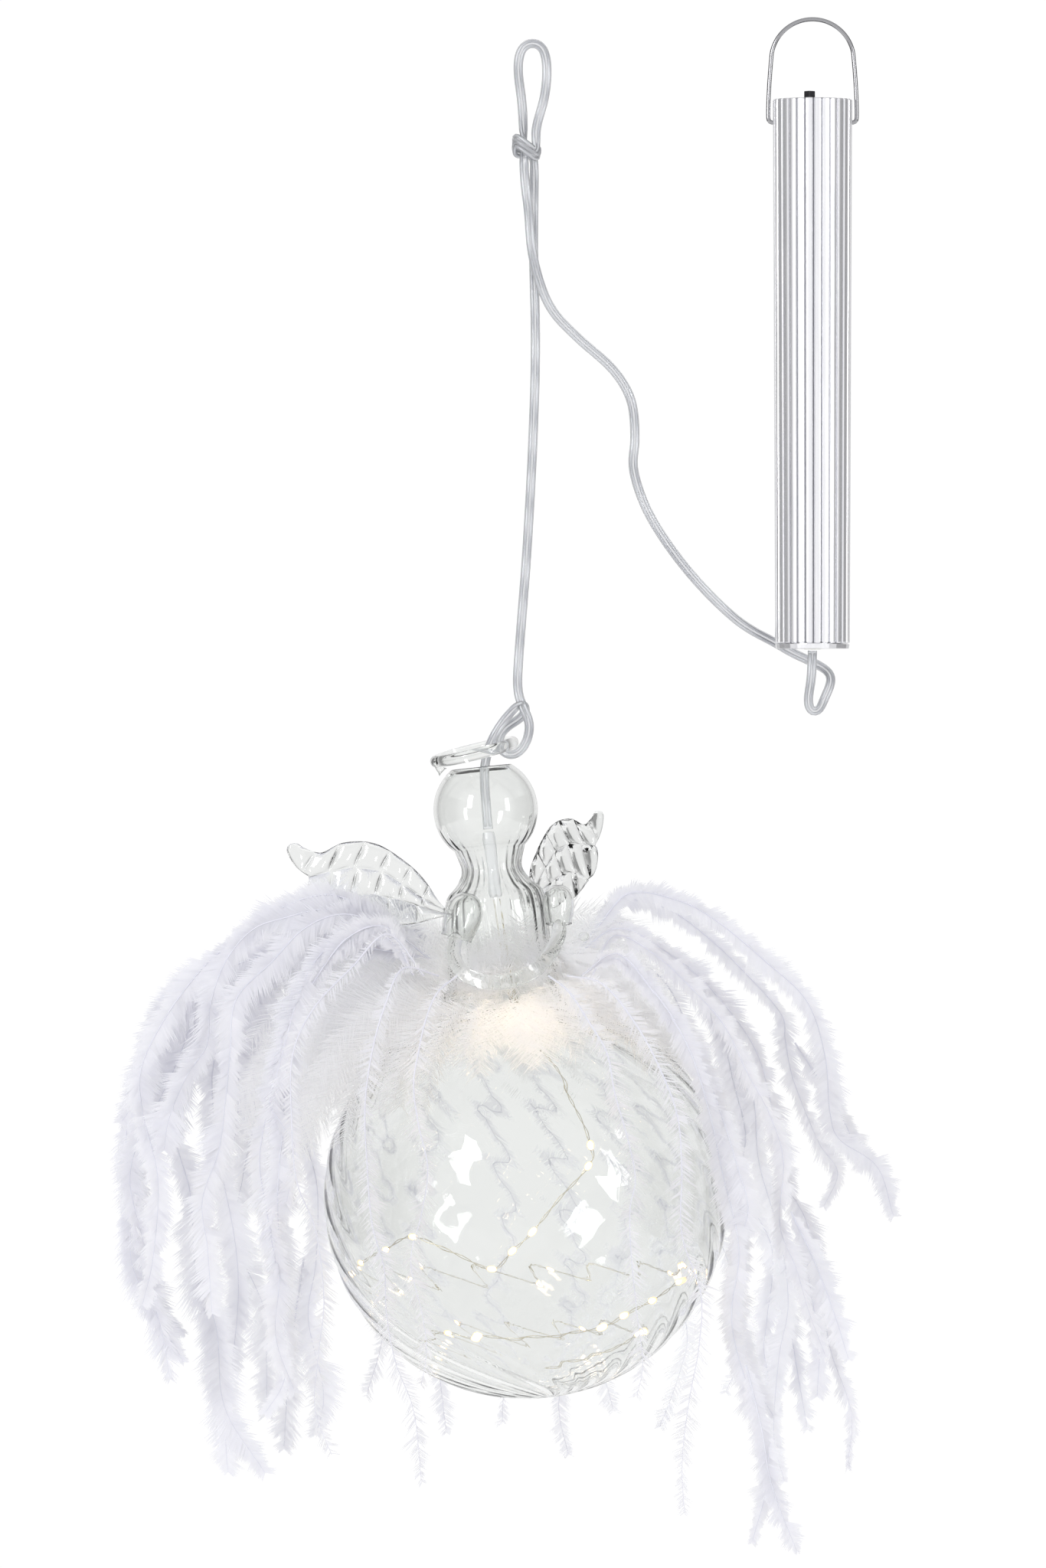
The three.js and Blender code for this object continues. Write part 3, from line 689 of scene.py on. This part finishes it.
def make_bead():
    low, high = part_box("clear_bead")
    bm = bmesh.new()
    bmesh.ops.create_icosphere(bm, subdivisions=4, radius=(high.x - low.x) / 2)
    bmesh.ops.scale(bm, verts=bm.verts, vec=(1, 0.92, 0.86))
    bmesh.ops.translate(bm, verts=bm.verts, vec=(low + high) / 2)
    piece = finish_piece("glass_drop", bm, [GLASS])
    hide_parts("clear_bead")
    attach(piece, "angel")


make_sleeve("blown_sleeve_left", "arm_sleeve_left", (-7.8, -20.2, 99), (-13.8, -20.7, 84.5), 1)
make_sleeve("blown_sleeve_right", "arm_sleeve_right", (20.6, -8.4, 98.5), (19.4, -10.4, 85), 0.84)
make_arm_rod()
make_bead()

# ---- ostrich plumes ----------------------------------------------------------------------------
# Bleached ostrich plumes, tied in a ring round the foot of the bust: a thin pliant quill with soft
# barbs on both sides, which clump into saw teeth along the edge. They arch out and hang to a point.


def bleached_feather(name, colour, shade, through):
    """Bleached feather: matt, soft, and lit through from behind; cool where it lies in its own shade."""
    made, shader = principled(name, roughness=0.9)
    tree = made.node_tree
    place = add_node(tree, "TexCoord").outputs["Object"]
    drift = add_node(tree, "TexNoise", {"Vector": place, "Scale": 1 / (7 * MM), "Detail": 3})
    tone = add_node(tree, "Mix", {"Factor": drift.outputs[0], 6: linear(shade), 7: linear(colour)},
                    data_type="RGBA").outputs[2]
    tree.links.new(tone, shader.inputs["Base Color"])
    glow = add_node(tree, "BsdfTranslucent", {"Color": tone})
    lit = add_node(tree, "MixShader", {0: through, 1: shader.outputs[0], 2: glow.outputs[0]})
    tree.links.new(lit.outputs[0], tree.nodes["Material Output"].inputs["Surface"])
    return made


BARB = bleached_feather("bleached_barb", "#f9f9fb", "#eeeef3", 0.6)
QUILL = bleached_feather("bleached_quill", "#e6e6ee", "#d9d9e4", 0.1)


def ribbon_route(node):
    """The middle line of a flat ribbon node, from its root, found ring by ring from its corners."""
    corners = {tuple(round(c, 6) for c in v.co) for v in frame["nodes"][node].data.vertices}
    corners = [Vector(c) for c in corners]
    neck = IN_PLACE @ (Vector((0, 0, 78)) * MM)
    here = min(corners, key=lambda c: (c - neck).length)
    route = []
    while len(corners) >= 4:
        ring = sorted(corners, key=lambda c: (c - here).length)[:4]
        corners = [c for c in corners if c not in ring]
        here = sum(ring, Vector()) / 4
        route.append(here)
    return route


def clear_of_ball(point, room):
    """The point, moved out of the ball if it lies in it or closer to it than room."""
    away = point - BALL_CENTER
    least = BALL_RADIUS + room
    return BALL_CENTER + away.normalized() * least if away.length < least else point


def add_barb(bm, root, direction, up, length, width, droop):
    """One barb: a narrow leaf that bends down under its own weight."""
    across = direction.cross(up).normalized() * width / 2
    down = Vector((0, 0, -droop * length))
    middle = root + direction * length * 0.6 + down * 0.35
    corners = [root - across, root + across, middle - across * 0.8, middle + across * 0.8]
    low_a, low_b, high_a, high_b = [bm.verts.new(corner) for corner in corners]
    tip = bm.verts.new(root + direction * length + down)
    bm.faces.new((low_a, low_b, high_b, high_a))
    bm.faces.new((high_a, high_b, tip))


def quill_line(route, chance):
    """The bent middle line of a strand, which meanders more away from its root, and its frames."""
    wander = Vector([chance.uniform(0, 40) for _ in range(3)])
    bent = []
    for i, point in enumerate(route):
        place = point / (34 * MM) + wander
        sway = Vector([noise.noise(place + Vector((0, 0, 17 * axis))) for axis in range(3)])
        bent.append(clear_of_ball(point + sway * 12 * MM * min(1, i / 8), 2 * MM))
    line = smooth_route(bent, 0.3 * MM)
    return line, frames_along(line, settle=0.06)


def add_barbs(bm, line, frames, half_width, thinned, chance):
    """Barbs on both sides of a quill, in clumps. thinned is the share of them that has worn away."""
    roll = vane_roll(line, chance)
    twist = chance.uniform(-0.6, 0.6)
    clump = [chance.uniform(9, 14), chance.uniform(9, 14)]
    phase = [chance.random(), chance.random()]
    for i, (point, (tangent, side, lift)) in enumerate(zip(line, frames)):
        share = i / (len(line) - 1)
        if share < 0.03:
            continue
        turn = Quaternion(tangent, roll + twist * share)
        across, up = turn @ side, turn @ lift
        full = min(1, 0.3 + share / 0.25) * (1 if share < 0.9 else 1 - 0.5 * (share - 0.9) / 0.1)
        swell = 1 + 0.4 * noise.noise(point / (15 * MM))
        for k, sign in enumerate((-1, 1)):
            tooth = i / clump[k] + phase[k]
            number, saw = math.floor(tooth), tooth % 1
            ragged = 1 + 0.6 * noise.noise(Vector((number * 1.7, k * 9.1, roll * 3)))
            flutter = 0.9 * noise.noise(Vector((number * 2.3, k * 5.3, twist * 7)))
            length = half_width * full * swell * ragged * (1.28 - 0.42 * saw) * chance.uniform(0.93, 1.07)
            if chance.random() < thinned:
                continue
            lean = 0.5 + 0.5 * saw
            direction = across * sign + tangent * lean + up * (flutter + chance.uniform(-0.14, 0.14))
            width = chance.uniform(0.42, 0.66) * (1 - 0.5 * thinned) * MM
            add_barb(bm, point, direction.normalized(), up, length * 1.15, width, chance.uniform(0.02, 0.12))


def vane_roll(route, chance):
    """Turns a vane flat to the front at the sides of the ball, and flat to the ball over it."""
    middle = route[len(route) // 2]
    sideways = min(1, abs(middle.x - BALL_CENTER.x) / (BALL_RADIUS * 1.2))
    return chance.uniform(-0.5, 0.5) + 0.2 * sideways


def strays(routes, number, chance):
    """Further strands from the same root as plume number, lying between it and the next."""
    route, neighbour = routes[number], routes[(number + 1) % len(routes)]
    made = []
    # The tuft is thickest at the left and thin at the right.
    further = 2 if route[-1].x < BALL_CENTER.x - 30 * MM else round(chance.random())
    for _ in range(further):
        mix = chance.uniform(0.2, 0.8)
        length = chance.uniform(0.6, 1.0)
        steps = len(route) - 1
        strand = []
        for i in range(steps + 1):
            share = i / steps * length
            at = share * steps
            low = min(int(at), steps - 1)
            here = route[low].lerp(route[low + 1], at - low)
            there = neighbour[low].lerp(neighbour[low + 1], at - low)
            strand.append(here.lerp(there, mix * min(1, share * 2)))
        made.append(strand)
    return made


def fork(route, chance):
    """A side shoot that leaves a strand part way down and hangs beside it."""
    start = round(len(route) * chance.uniform(0.55, 0.72))
    spread = Vector((chance.choice((-1, 1)) * chance.uniform(0.25, 0.6), chance.uniform(-0.4, 0.4), 0))
    shoot = []
    for i, point in enumerate(route[start:]):
        shoot.append(point + spread * (i * 7 * MM))
    return shoot[:max(4, round(len(shoot) * chance.uniform(0.6, 0.9)))]


def make_plumes():
    names = [f"plume_{number:02d}" for number in range(1, 25)]
    routes = [ribbon_route(name) for name in names]
    for number, (name, route) in enumerate(zip(names, routes)):
        chance = random.Random(400 + number)
        tip = route[-1]
        # The plumes that hang before and behind the ball are single and worn thin, so the lamps show.
        over_ball = abs(tip.y) > 15 * MM and abs(tip.x - BALL_CENTER.x) < BALL_RADIUS
        thinned = (0.6 if tip.y < 0 else 0.35) if over_ball else 0
        width = (3.8 if over_ball else 5.4 if tip.x < BALL_CENTER.x - 30 * MM else 4.2) * MM
        strands = [route] + ([] if over_ball else strays(routes, number, chance))
        if chance.random() < 0.6 and len(route) > 8 and not over_ball:
            strands.append(fork(route, chance))
        quills = [quill_line(strand, chance) for strand in strands]
        bm = bmesh.new()
        for line, frames in quills:
            steps = len(line) - 1
            sweep(bm, line[::4], frames[::4], round_section(0.28 * MM, 5),
                  [1.3 - 1.0 * i / steps for i in range(0, steps + 1, 4)])
        for face in bm.faces:
            face.material_index = 1
        for line, frames in quills:
            add_barbs(bm, line, frames, width * chance.uniform(0.85, 1.15), thinned, chance)
        for vert in bm.verts:
            vert.co = clear_of_ball(vert.co, 1.7 * MM)
        piece = finish_piece(f"ostrich_{name}", bm, [BARB, QUILL], smooth=False)
        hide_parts(name)
        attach(piece, "angel")


make_plumes()

# ---- marabou fluff -----------------------------------------------------------------------------
# Marabou down tied under the plumes: short soft quills with long, very fine barbs that lie over the
# crown of the ball and stand up round the shoulders as a loose haze.

DOWN = bleached_feather("marabou_down", "#fefefe", "#f9f9fb", 0.72)


def add_down(bm, start, outward, length, limpness, chance):
    """One down feather: two sides of long fine barbs along a curved line that falls over the ball."""
    route = [start]
    heading = outward.normalized()
    for _ in range(7):
        fall = Vector((chance.uniform(-0.12, 0.12), chance.uniform(-0.12, 0.12),
                       limpness * chance.uniform(-0.34, -0.16)))
        heading = (heading + fall).normalized()
        route.append(clear_of_ball(route[-1] + heading * length / 7, 1.2 * MM))
    line = smooth_route(route, 0.75 * MM)
    frames = frames_along(line, settle=0)
    count = len(line)
    roll = chance.uniform(-0.8, 0.8)
    for i, (point, (tangent, side, lift)) in enumerate(zip(line, frames)):
        share = i / max(count - 1, 1)
        turn = Quaternion(tangent, roll)
        for sign in (-1, 1):
            wisp = (turn @ side * sign + tangent * chance.uniform(0.6, 1.3)
                    + turn @ lift * chance.uniform(-0.3, 0.3))
            reach = (min(length * 0.5, chance.uniform(9, 15) * MM) * (1 - 0.45 * share)
                     * min(1, 0.4 + 3 * share))
            add_barb(bm, point, wisp.normalized(), turn @ lift, reach, chance.uniform(0.16, 0.3) * MM,
                     chance.uniform(0.02, 0.22))


def off_the_figure(point):
    """The point kept off the ball and the bust, and behind the forearms where they cross the bust."""
    place = IN_PLACE.inverted() @ clear_of_ball(point, 1.7 * MM)
    reach, height = math.hypot(place.x, place.y), place.z / MM
    if not 60.5 < height < 95:
        return IN_PLACE @ place
    wall = next(r + (radius - r) * (height - h) / (above - h)
                for (radius, above), (r, h) in zip(BUST, BUST[1:]) if h <= height)
    least, most = wall + 0.5, 1000
    if height > 66.5 and -140 < math.degrees(math.atan2(place.y, place.x)) < -15:
        most = max(least, 21.2 if height < 74 else 19.6)
    scale = min(max(reach, least * MM), most * MM) / reach
    return IN_PLACE @ Vector((place.x * scale, place.y * scale, place.z))


def make_fluff():
    chance = random.Random(77)
    bm = bmesh.new()
    feathers = 270
    for i in range(feathers):
        around = 2 * math.pi * (i + chance.uniform(-0.5, 0.5)) / feathers
        left, front, back = max(0, -math.cos(around)), max(0, -math.sin(around)), max(0, math.sin(around))
        # In front the down starts low and lies on the ball, thin enough to see through; behind the
        # wings and the arms it stands up.
        level = chance.random() * (1 - 0.9 * front) * (0.4 if left > 0.5 and back < 0.2 else 1)
        radius = 26 - 7 * level
        outward = Vector((math.cos(around), math.sin(around), 0))
        start = IN_PLACE @ ((outward * radius + Vector((0, 0, 62 + 26 * level))) * MM)
        rise = chance.uniform(-0.2, 0.5) + 0.35 * left * min(1, 5 * back) + 0.2 * back - 0.5 * front
        length = (chance.uniform(36, 56) + 34 * left * chance.random()) * (1 - 0.42 * front)
        if chance.random() < 1 - 0.45 * front:
            add_down(bm, start, outward + Vector((0, 0, rise)), length * MM, 1, chance)
    ruff = 110
    for i in range(ruff):
        # A ruff of short down stands up round the foot of the bust, between it and the arms.
        around = 2 * math.pi * (i + chance.uniform(-0.5, 0.5)) / ruff
        outward = Vector((math.cos(around), math.sin(around), 0))
        start = IN_PLACE @ ((outward * 21 + Vector((0, 0, 62 + 6 * chance.random()))) * MM)
        lean = Vector((-outward.y, outward.x, 0)) * chance.uniform(-0.7, 0.7) + outward * 0.02
        add_down(bm, start, Vector((0, 0, 1)) + lean, chance.uniform(14, 24) * MM, 0.1, chance)
    for vert in bm.verts:
        vert.co = off_the_figure(vert.co)
    piece = finish_piece("marabou_fluff", bm, [DOWN], smooth=False)
    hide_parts("fluff_collar")
    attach(piece, "angel")


make_fluff()

# ---- lamp string -------------------------------------------------------------------------------
# Two lacquered silver wires twisted together, with clear resin drops over warm white lamps. The
# string was fed down the neck and springs out against the inside of the ball.


def lamp_wire():
    """Lacquered copper-silver wire: bright, slightly warm."""
    made, shader = principled("lacquered_wire", base_color=linear("#cfc8b4"), metallic=1, roughness=0.25)
    return uneven_gloss(made, shader, 2 * MM, 2, 0.15, 0.4)


def lit_resin():
    """A clear resin drop filled with light: white-hot in the middle, amber at its rim. It lights nothing
    matt by itself, small lamps do that."""
    made, shader = principled("lit_resin_drop", base_color=linear("#ffe0a0"), roughness=0.3)
    tree = made.node_tree
    turned_away = add_node(tree, "LayerWeight", {"Blend": 0.5}).outputs["Facing"]
    tone = add_node(tree, "Mix", {"Factor": turned_away, 6: linear("#fff4dd"), 7: linear("#ffac3e")},
                    data_type="RGBA")
    power = add_node(tree, "MapRange", {
        "Value": turned_away, "From Min": 0.04, "From Max": 0.42, "To Min": 9, "To Max": 1.0,
    }).outputs[0]
    matt_ray = add_node(tree, "LightPath").outputs["Is Diffuse Ray"]
    kept = add_node(tree, "Mix", {"Factor": matt_ray, 2: power, 3: 0.0}, data_type="FLOAT").outputs[0]
    tree.links.new(tone.outputs[2], shader.inputs["Emission Color"])
    tree.links.new(kept, shader.inputs["Emission Strength"])
    return made


# Places along the string in the body's own frame, in mm, and whether a lamp sits there.
LAMP_STRING = [
    (0, 0, 96, 0), (1, 0, 80, 0), (2, -2, 66, 0), (6, -16, 54, 1), (14, -36, 40, 0), (22, -53, 16, 1),
    (20.5, -55.5, 9.5, 1), (10, -58, 0, 0), (1, -59, -9, 1), (-6, -58, -14.5, 1), (-13, -55, -19.5, 1),
    (-25, -53, -13, 0), (-36.5, -47, -7, 1), (-45.5, -37.5, -10.5, 1), (-54, -22, -14.5, 1),
    (-57, -2, -18, 1), (-54, 20, -22, 0), (-40, 40, -24, 1), (-20, 52, -26, 0), (4, 54, -28, 1),
    (28, 46, -29, 0), (46, 28, -30, 1), (52, 2, -30, 1), (46, -20, -31, 1), (36.5, -31, -35.5, 1),
    (27, -36, -39, 1), (19.5, -38, -42, 1), (0, -41, -43, 0), (-20, -38, -41, 1), (-29, -34, -39, 1),
    (-38, -18, -42, 0), (-38, 2, -44, 0), (-30, 24, -44, 1), (-8, 36, -46, 0), (14, 34, -46, 1),
    (30, 16, -47, 0), (32, -7, -47, 1), (20, -18, -51, 0), (0, -24, -54, 0),
]


def make_lamp_string():
    spots = [IN_PLACE @ (Vector(place[:3]) * MM) for place in LAMP_STRING]
    route = smooth_route(spots, 0.9 * MM)
    frames = frames_along(route, settle=0)
    bm = bmesh.new()
    for start in (0, math.pi):
        twisted = []
        for i, (point, (_, side, lift)) in enumerate(zip(route, frames)):
            angle = start + i * 0.42
            twisted.append(point + (side * math.cos(angle) + lift * math.sin(angle)) * 0.34 * MM)
        sweep(bm, twisted, frames, round_section(0.13 * MM, 5))
    bmesh.ops.recalc_face_normals(bm, faces=bm.faces)
    done = len(bm.faces)
    for spot, place in zip(spots, LAMP_STRING):
        if not place[3]:
            continue
        at = min(range(len(route)), key=lambda i: (route[i] - spot).length)
        turn = frames[at][0].to_track_quat("Z", "Y").to_matrix().to_4x4()
        bmesh.ops.create_icosphere(bm, subdivisions=3, radius=1.1 * MM,
                                   matrix=Matrix.Translation(spot) @ turn @ Matrix.Scale(1.5, 4, (0, 0, 1)))
    bm.faces.ensure_lookup_table()
    for face in bm.faces[done:]:
        face.material_index = 1
    piece = finish_piece("lamp_wires", bm, [lamp_wire(), lit_resin()])
    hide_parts("lamp_string")
    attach(piece, "angel")


def add_lamp_glow():
    """The warm light that the lamps throw on the feathers round the ball."""
    for number, (place, power) in enumerate((
        ((4, -22, 46), 0.014), ((8, -34, 30), 0.005), ((-44, -30, -12), 0.003), ((40, -22, -32), 0.003),
        ((-24, -30, -40), 0.003),
    )):
        name = f"lamp_glow_{number}"
        glow = bpy.data.objects.new(name, bpy.data.lights.new(name, "POINT"))
        glow.data.color = linear("#ffe2b8")[:3]
        glow.data.energy = power
        glow.data.shadow_soft_size = 3 * MM
        glow.location = IN_PLACE @ (Vector(place) * MM)
        glow.visible_camera = glow.visible_glossy = glow.visible_transmission = False
        scene.collection.objects.link(glow)


make_lamp_string()
add_lamp_glow()

# ---- battery tube ------------------------------------------------------------------------------
# A fluted tube moulded in ABS with a slight draft and sprayed with bright silver lacquer.


def silver_lacquer(name, groove):
    """Silver lacquer over moulded ABS: smooth and bright under a clear gloss; its grooves are painted darker
    grey as painted shade.
    """
    made, shader = principled(name, metallic=0.85, coat_weight=0.4)
    shader.inputs["Coat Roughness"].default_value = 0.08
    tree = made.node_tree
    place = add_node(tree, "TexCoord").outputs["Object"]
    # Streaks run along the tube, so the pattern is stretched up and down.
    drawn = add_node(tree, "Mapping", {"Vector": place, "Scale": (1, 1, 0.05)})
    streak = add_node(tree, "TexNoise", {"Vector": drawn.outputs[0], "Scale": 1 / (1.1 * MM), "Detail": 2})
    tone = add_node(tree, "Mix", {"Factor": streak.outputs[0], 6: linear("#e9e9ee"), 7: linear("#f7f7f9")},
                    data_type="RGBA").outputs[2]
    if groove:
        # Painted shade: the deeper the groove, the darker grey the lacquer is painted there.
        depth = add_node(tree, "Attribute", attribute_name="groove").outputs["Fac"]
        groove_shade = add_node(tree, "MapRange", {"Value": depth, "From Min": 0.25, "From Max": 1, "To Max": 0.85})
        tone = add_node(tree, "Mix", {"Factor": groove_shade.outputs[0], 6: tone, 7: linear("#85868c")},
                        data_type="RGBA").outputs[2]
    rough = add_node(tree, "MapRange", {"Value": streak.outputs[0], "To Min": 0.16, "To Max": 0.3})
    tree.links.new(tone, shader.inputs["Base Color"])
    tree.links.new(rough.outputs[0], shader.inputs["Roughness"])
    return made


FLUTED_SILVER = silver_lacquer("fluted_silver_lacquer", groove=True)
PLAIN_SILVER = silver_lacquer("plain_silver_lacquer", groove=False)
FLUTES = 28


def make_tube():
    low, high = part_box("tube_sleeve")
    centre = (low + high) / 2
    top_radius, foot_radius, bore = 12.8 * MM, 12.05 * MM, 10.6 * MM
    steps = FLUTES * 16
    bm = bmesh.new()
    bmesh.ops.create_circle(bm, segments=steps, radius=foot_radius - 0.3 * MM,
                            matrix=Matrix.Translation((0, 0, low.z)))
    # groove holds how deep each flute bottom lies; it cuts the flutes and sets the painted shade in them.
    groove = bm.verts.layers.float.new("groove")
    for vert in bm.verts:
        turn = FLUTES * math.atan2(vert.co.y, vert.co.x) / (2 * math.pi) % 1
        off_middle = abs(2 * turn - 1)
        vert[groove] = max(0, (off_middle - 0.72) / 0.28)
        inward = 0.16 * off_middle ** 2 + 0.62 * vert[groove] ** 0.7
        reach = Vector((vert.co.x, vert.co.y, 0))
        vert.co -= reach.normalized() * inward * MM
    ring = bm.edges[:]
    chamfer = 0.35 * MM
    wider = foot_radius / (foot_radius - 0.3 * MM)
    drafted = top_radius / foot_radius

    def about_axis(scale, lift):
        return Matrix.Translation((0, 0, lift)) @ Matrix.Diagonal((scale, scale, 1, 1))

    ring = grow(bm, ring, about_axis(wider, chamfer))
    ring = grow(bm, ring, about_axis(drafted, high.z - low.z - 2 * chamfer))
    ring = grow(bm, ring, about_axis(1 - 0.3 * MM / top_radius, chamfer))
    ring = grow(bm, ring, about_axis(bore / (top_radius - 0.3 * MM), -0.2 * MM))
    grow(bm, ring, about_axis(1, low.z - high.z + 0.4 * MM))
    open_rings = [e for e in bm.edges if e.is_boundary]
    bmesh.ops.bridge_loops(bm, edges=open_rings)
    bmesh.ops.recalc_face_normals(bm, faces=bm.faces)
    bmesh.ops.translate(bm, verts=bm.verts, vec=(centre.x, centre.y, 0))
    piece = finish_piece("fluted_tube", bm, [FLUTED_SILVER], smooth=False)
    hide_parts("tube_sleeve")
    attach(piece, "sleeve")


make_tube()

# ---- wire bail ---------------------------------------------------------------------------------
# Round steel wire, bent to a bow and bright plated, its ends sprung into cross holes of the tube.


def bright_plate():
    """Bright nickel-chrome plate on drawn wire: mirror gloss, dulled here and there."""
    made, shader = principled("bright_plated_wire", base_color=linear("#a4a4a7"), metallic=1, roughness=0.12)
    return uneven_gloss(made, shader, 5 * MM, 1, 0.06, 0.22)


def make_bail():
    low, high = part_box("wire_bail")
    centre = (low.x + high.x) / 2 / MM
    pivot = -27.3
    leg = [(11.6, pivot), (12.6, pivot), (13.4, pivot + 0.1), (14.0, pivot + 0.7), (14.2, pivot + 1.6),
           (14.2, pivot + 5), (13.9, pivot + 12)]
    bow_radius, bow_height = 13.3, -7.4
    turns = [math.pi * i / 12 for i in range(13)]
    crown = [(bow_radius * math.cos(turn), bow_height + bow_radius * math.sin(turn)) for turn in turns]
    bow = leg + crown + [(-x, z) for x, z in leg[::-1]]
    route = smooth_route([Vector((centre + x, 0, z)) * MM for x, z in bow], 0.7 * MM)
    bm = bmesh.new()
    wire_radius = 0.7 * MM
    sweep(bm, route, frames_along(route), round_section(wire_radius, 16))
    bmesh.ops.recalc_face_normals(bm, faces=bm.faces)
    piece = finish_piece("plated_bail", bm, [bright_plate()])
    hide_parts("wire_bail")
    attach(piece, "bail")


make_bail()

# ---- switch and inner works --------------------------------------------------------------------
# The slide switch under the top plate, the white trough with three cells in line, the spring and
# plates that join them, and the plug with the cord's grommet at the foot.


def grained(name, light, dark, grain, **settings):
    """A moulded, plated or printed finish: two close tones that drift over each other, and their gloss."""
    made, shader = principled(name, **settings)
    tree = made.node_tree
    place = add_node(tree, "TexCoord").outputs["Object"]
    drift = add_node(tree, "TexNoise", {"Vector": place, "Scale": 1 / grain, "Detail": 3})
    tone = add_node(tree, "Mix", {"Factor": drift.outputs[0], 6: linear(dark), 7: linear(light)},
                    data_type="RGBA")
    tree.links.new(tone.outputs[2], shader.inputs["Base Color"])
    return made


def dress(nodes, material):
    for name in nodes:
        mesh = frame["nodes"][name].data
        mesh.materials.clear()
        mesh.materials.append(material)


def make_knob():
    low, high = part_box("switch_knob")
    centre = (low + high) / 2
    size = 2.6 * MM
    bm = bmesh.new()
    bmesh.ops.create_cube(bm, size=1)
    bmesh.ops.scale(bm, verts=bm.verts, vec=(size, size, high.z - low.z))
    bmesh.ops.bevel(bm, geom=bm.edges[:], offset=0.22 * MM, affect="EDGES", segments=3, profile=0.5,
                    material=-1)
    turn = Matrix.Translation(centre) @ Matrix.Rotation(math.radians(40), 4, "Z")
    bmesh.ops.transform(bm, matrix=turn, verts=bm.verts)
    black = grained("moulded_black_nylon", "#2a2a30", "#17171b", 1.5 * MM, roughness=0.42)
    piece = finish_piece("slide_knob", bm, [black], smooth=False)
    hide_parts("switch_knob")
    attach(piece, "knob")
    dress(["top_plate"], black)


make_knob()
dress(["bottom_cap"], PLAIN_SILVER)
dress(["battery_carrier", "cord_grommet"],
      grained("moulded_white_abs", "#f1f1ee", "#e2e2de", 3 * MM, roughness=0.42))
dress(["battery_1", "battery_2", "battery_3"],
      grained("printed_foil_jacket", "#757c87", "#565c66", 6 * MM, metallic=0.4, roughness=0.3))
dress(["contact_spring", "contact_plate", "switch_body"],
      grained("nickel_plate", "#d2cfc6", "#b4b1a9", 2 * MM, metallic=1, roughness=0.28))
dress(["circuit_board"], grained("solder_mask", "#2f7048", "#1f5535", 1 * MM, roughness=0.35))
dress(["splice_sleeve"], clear_pvc())
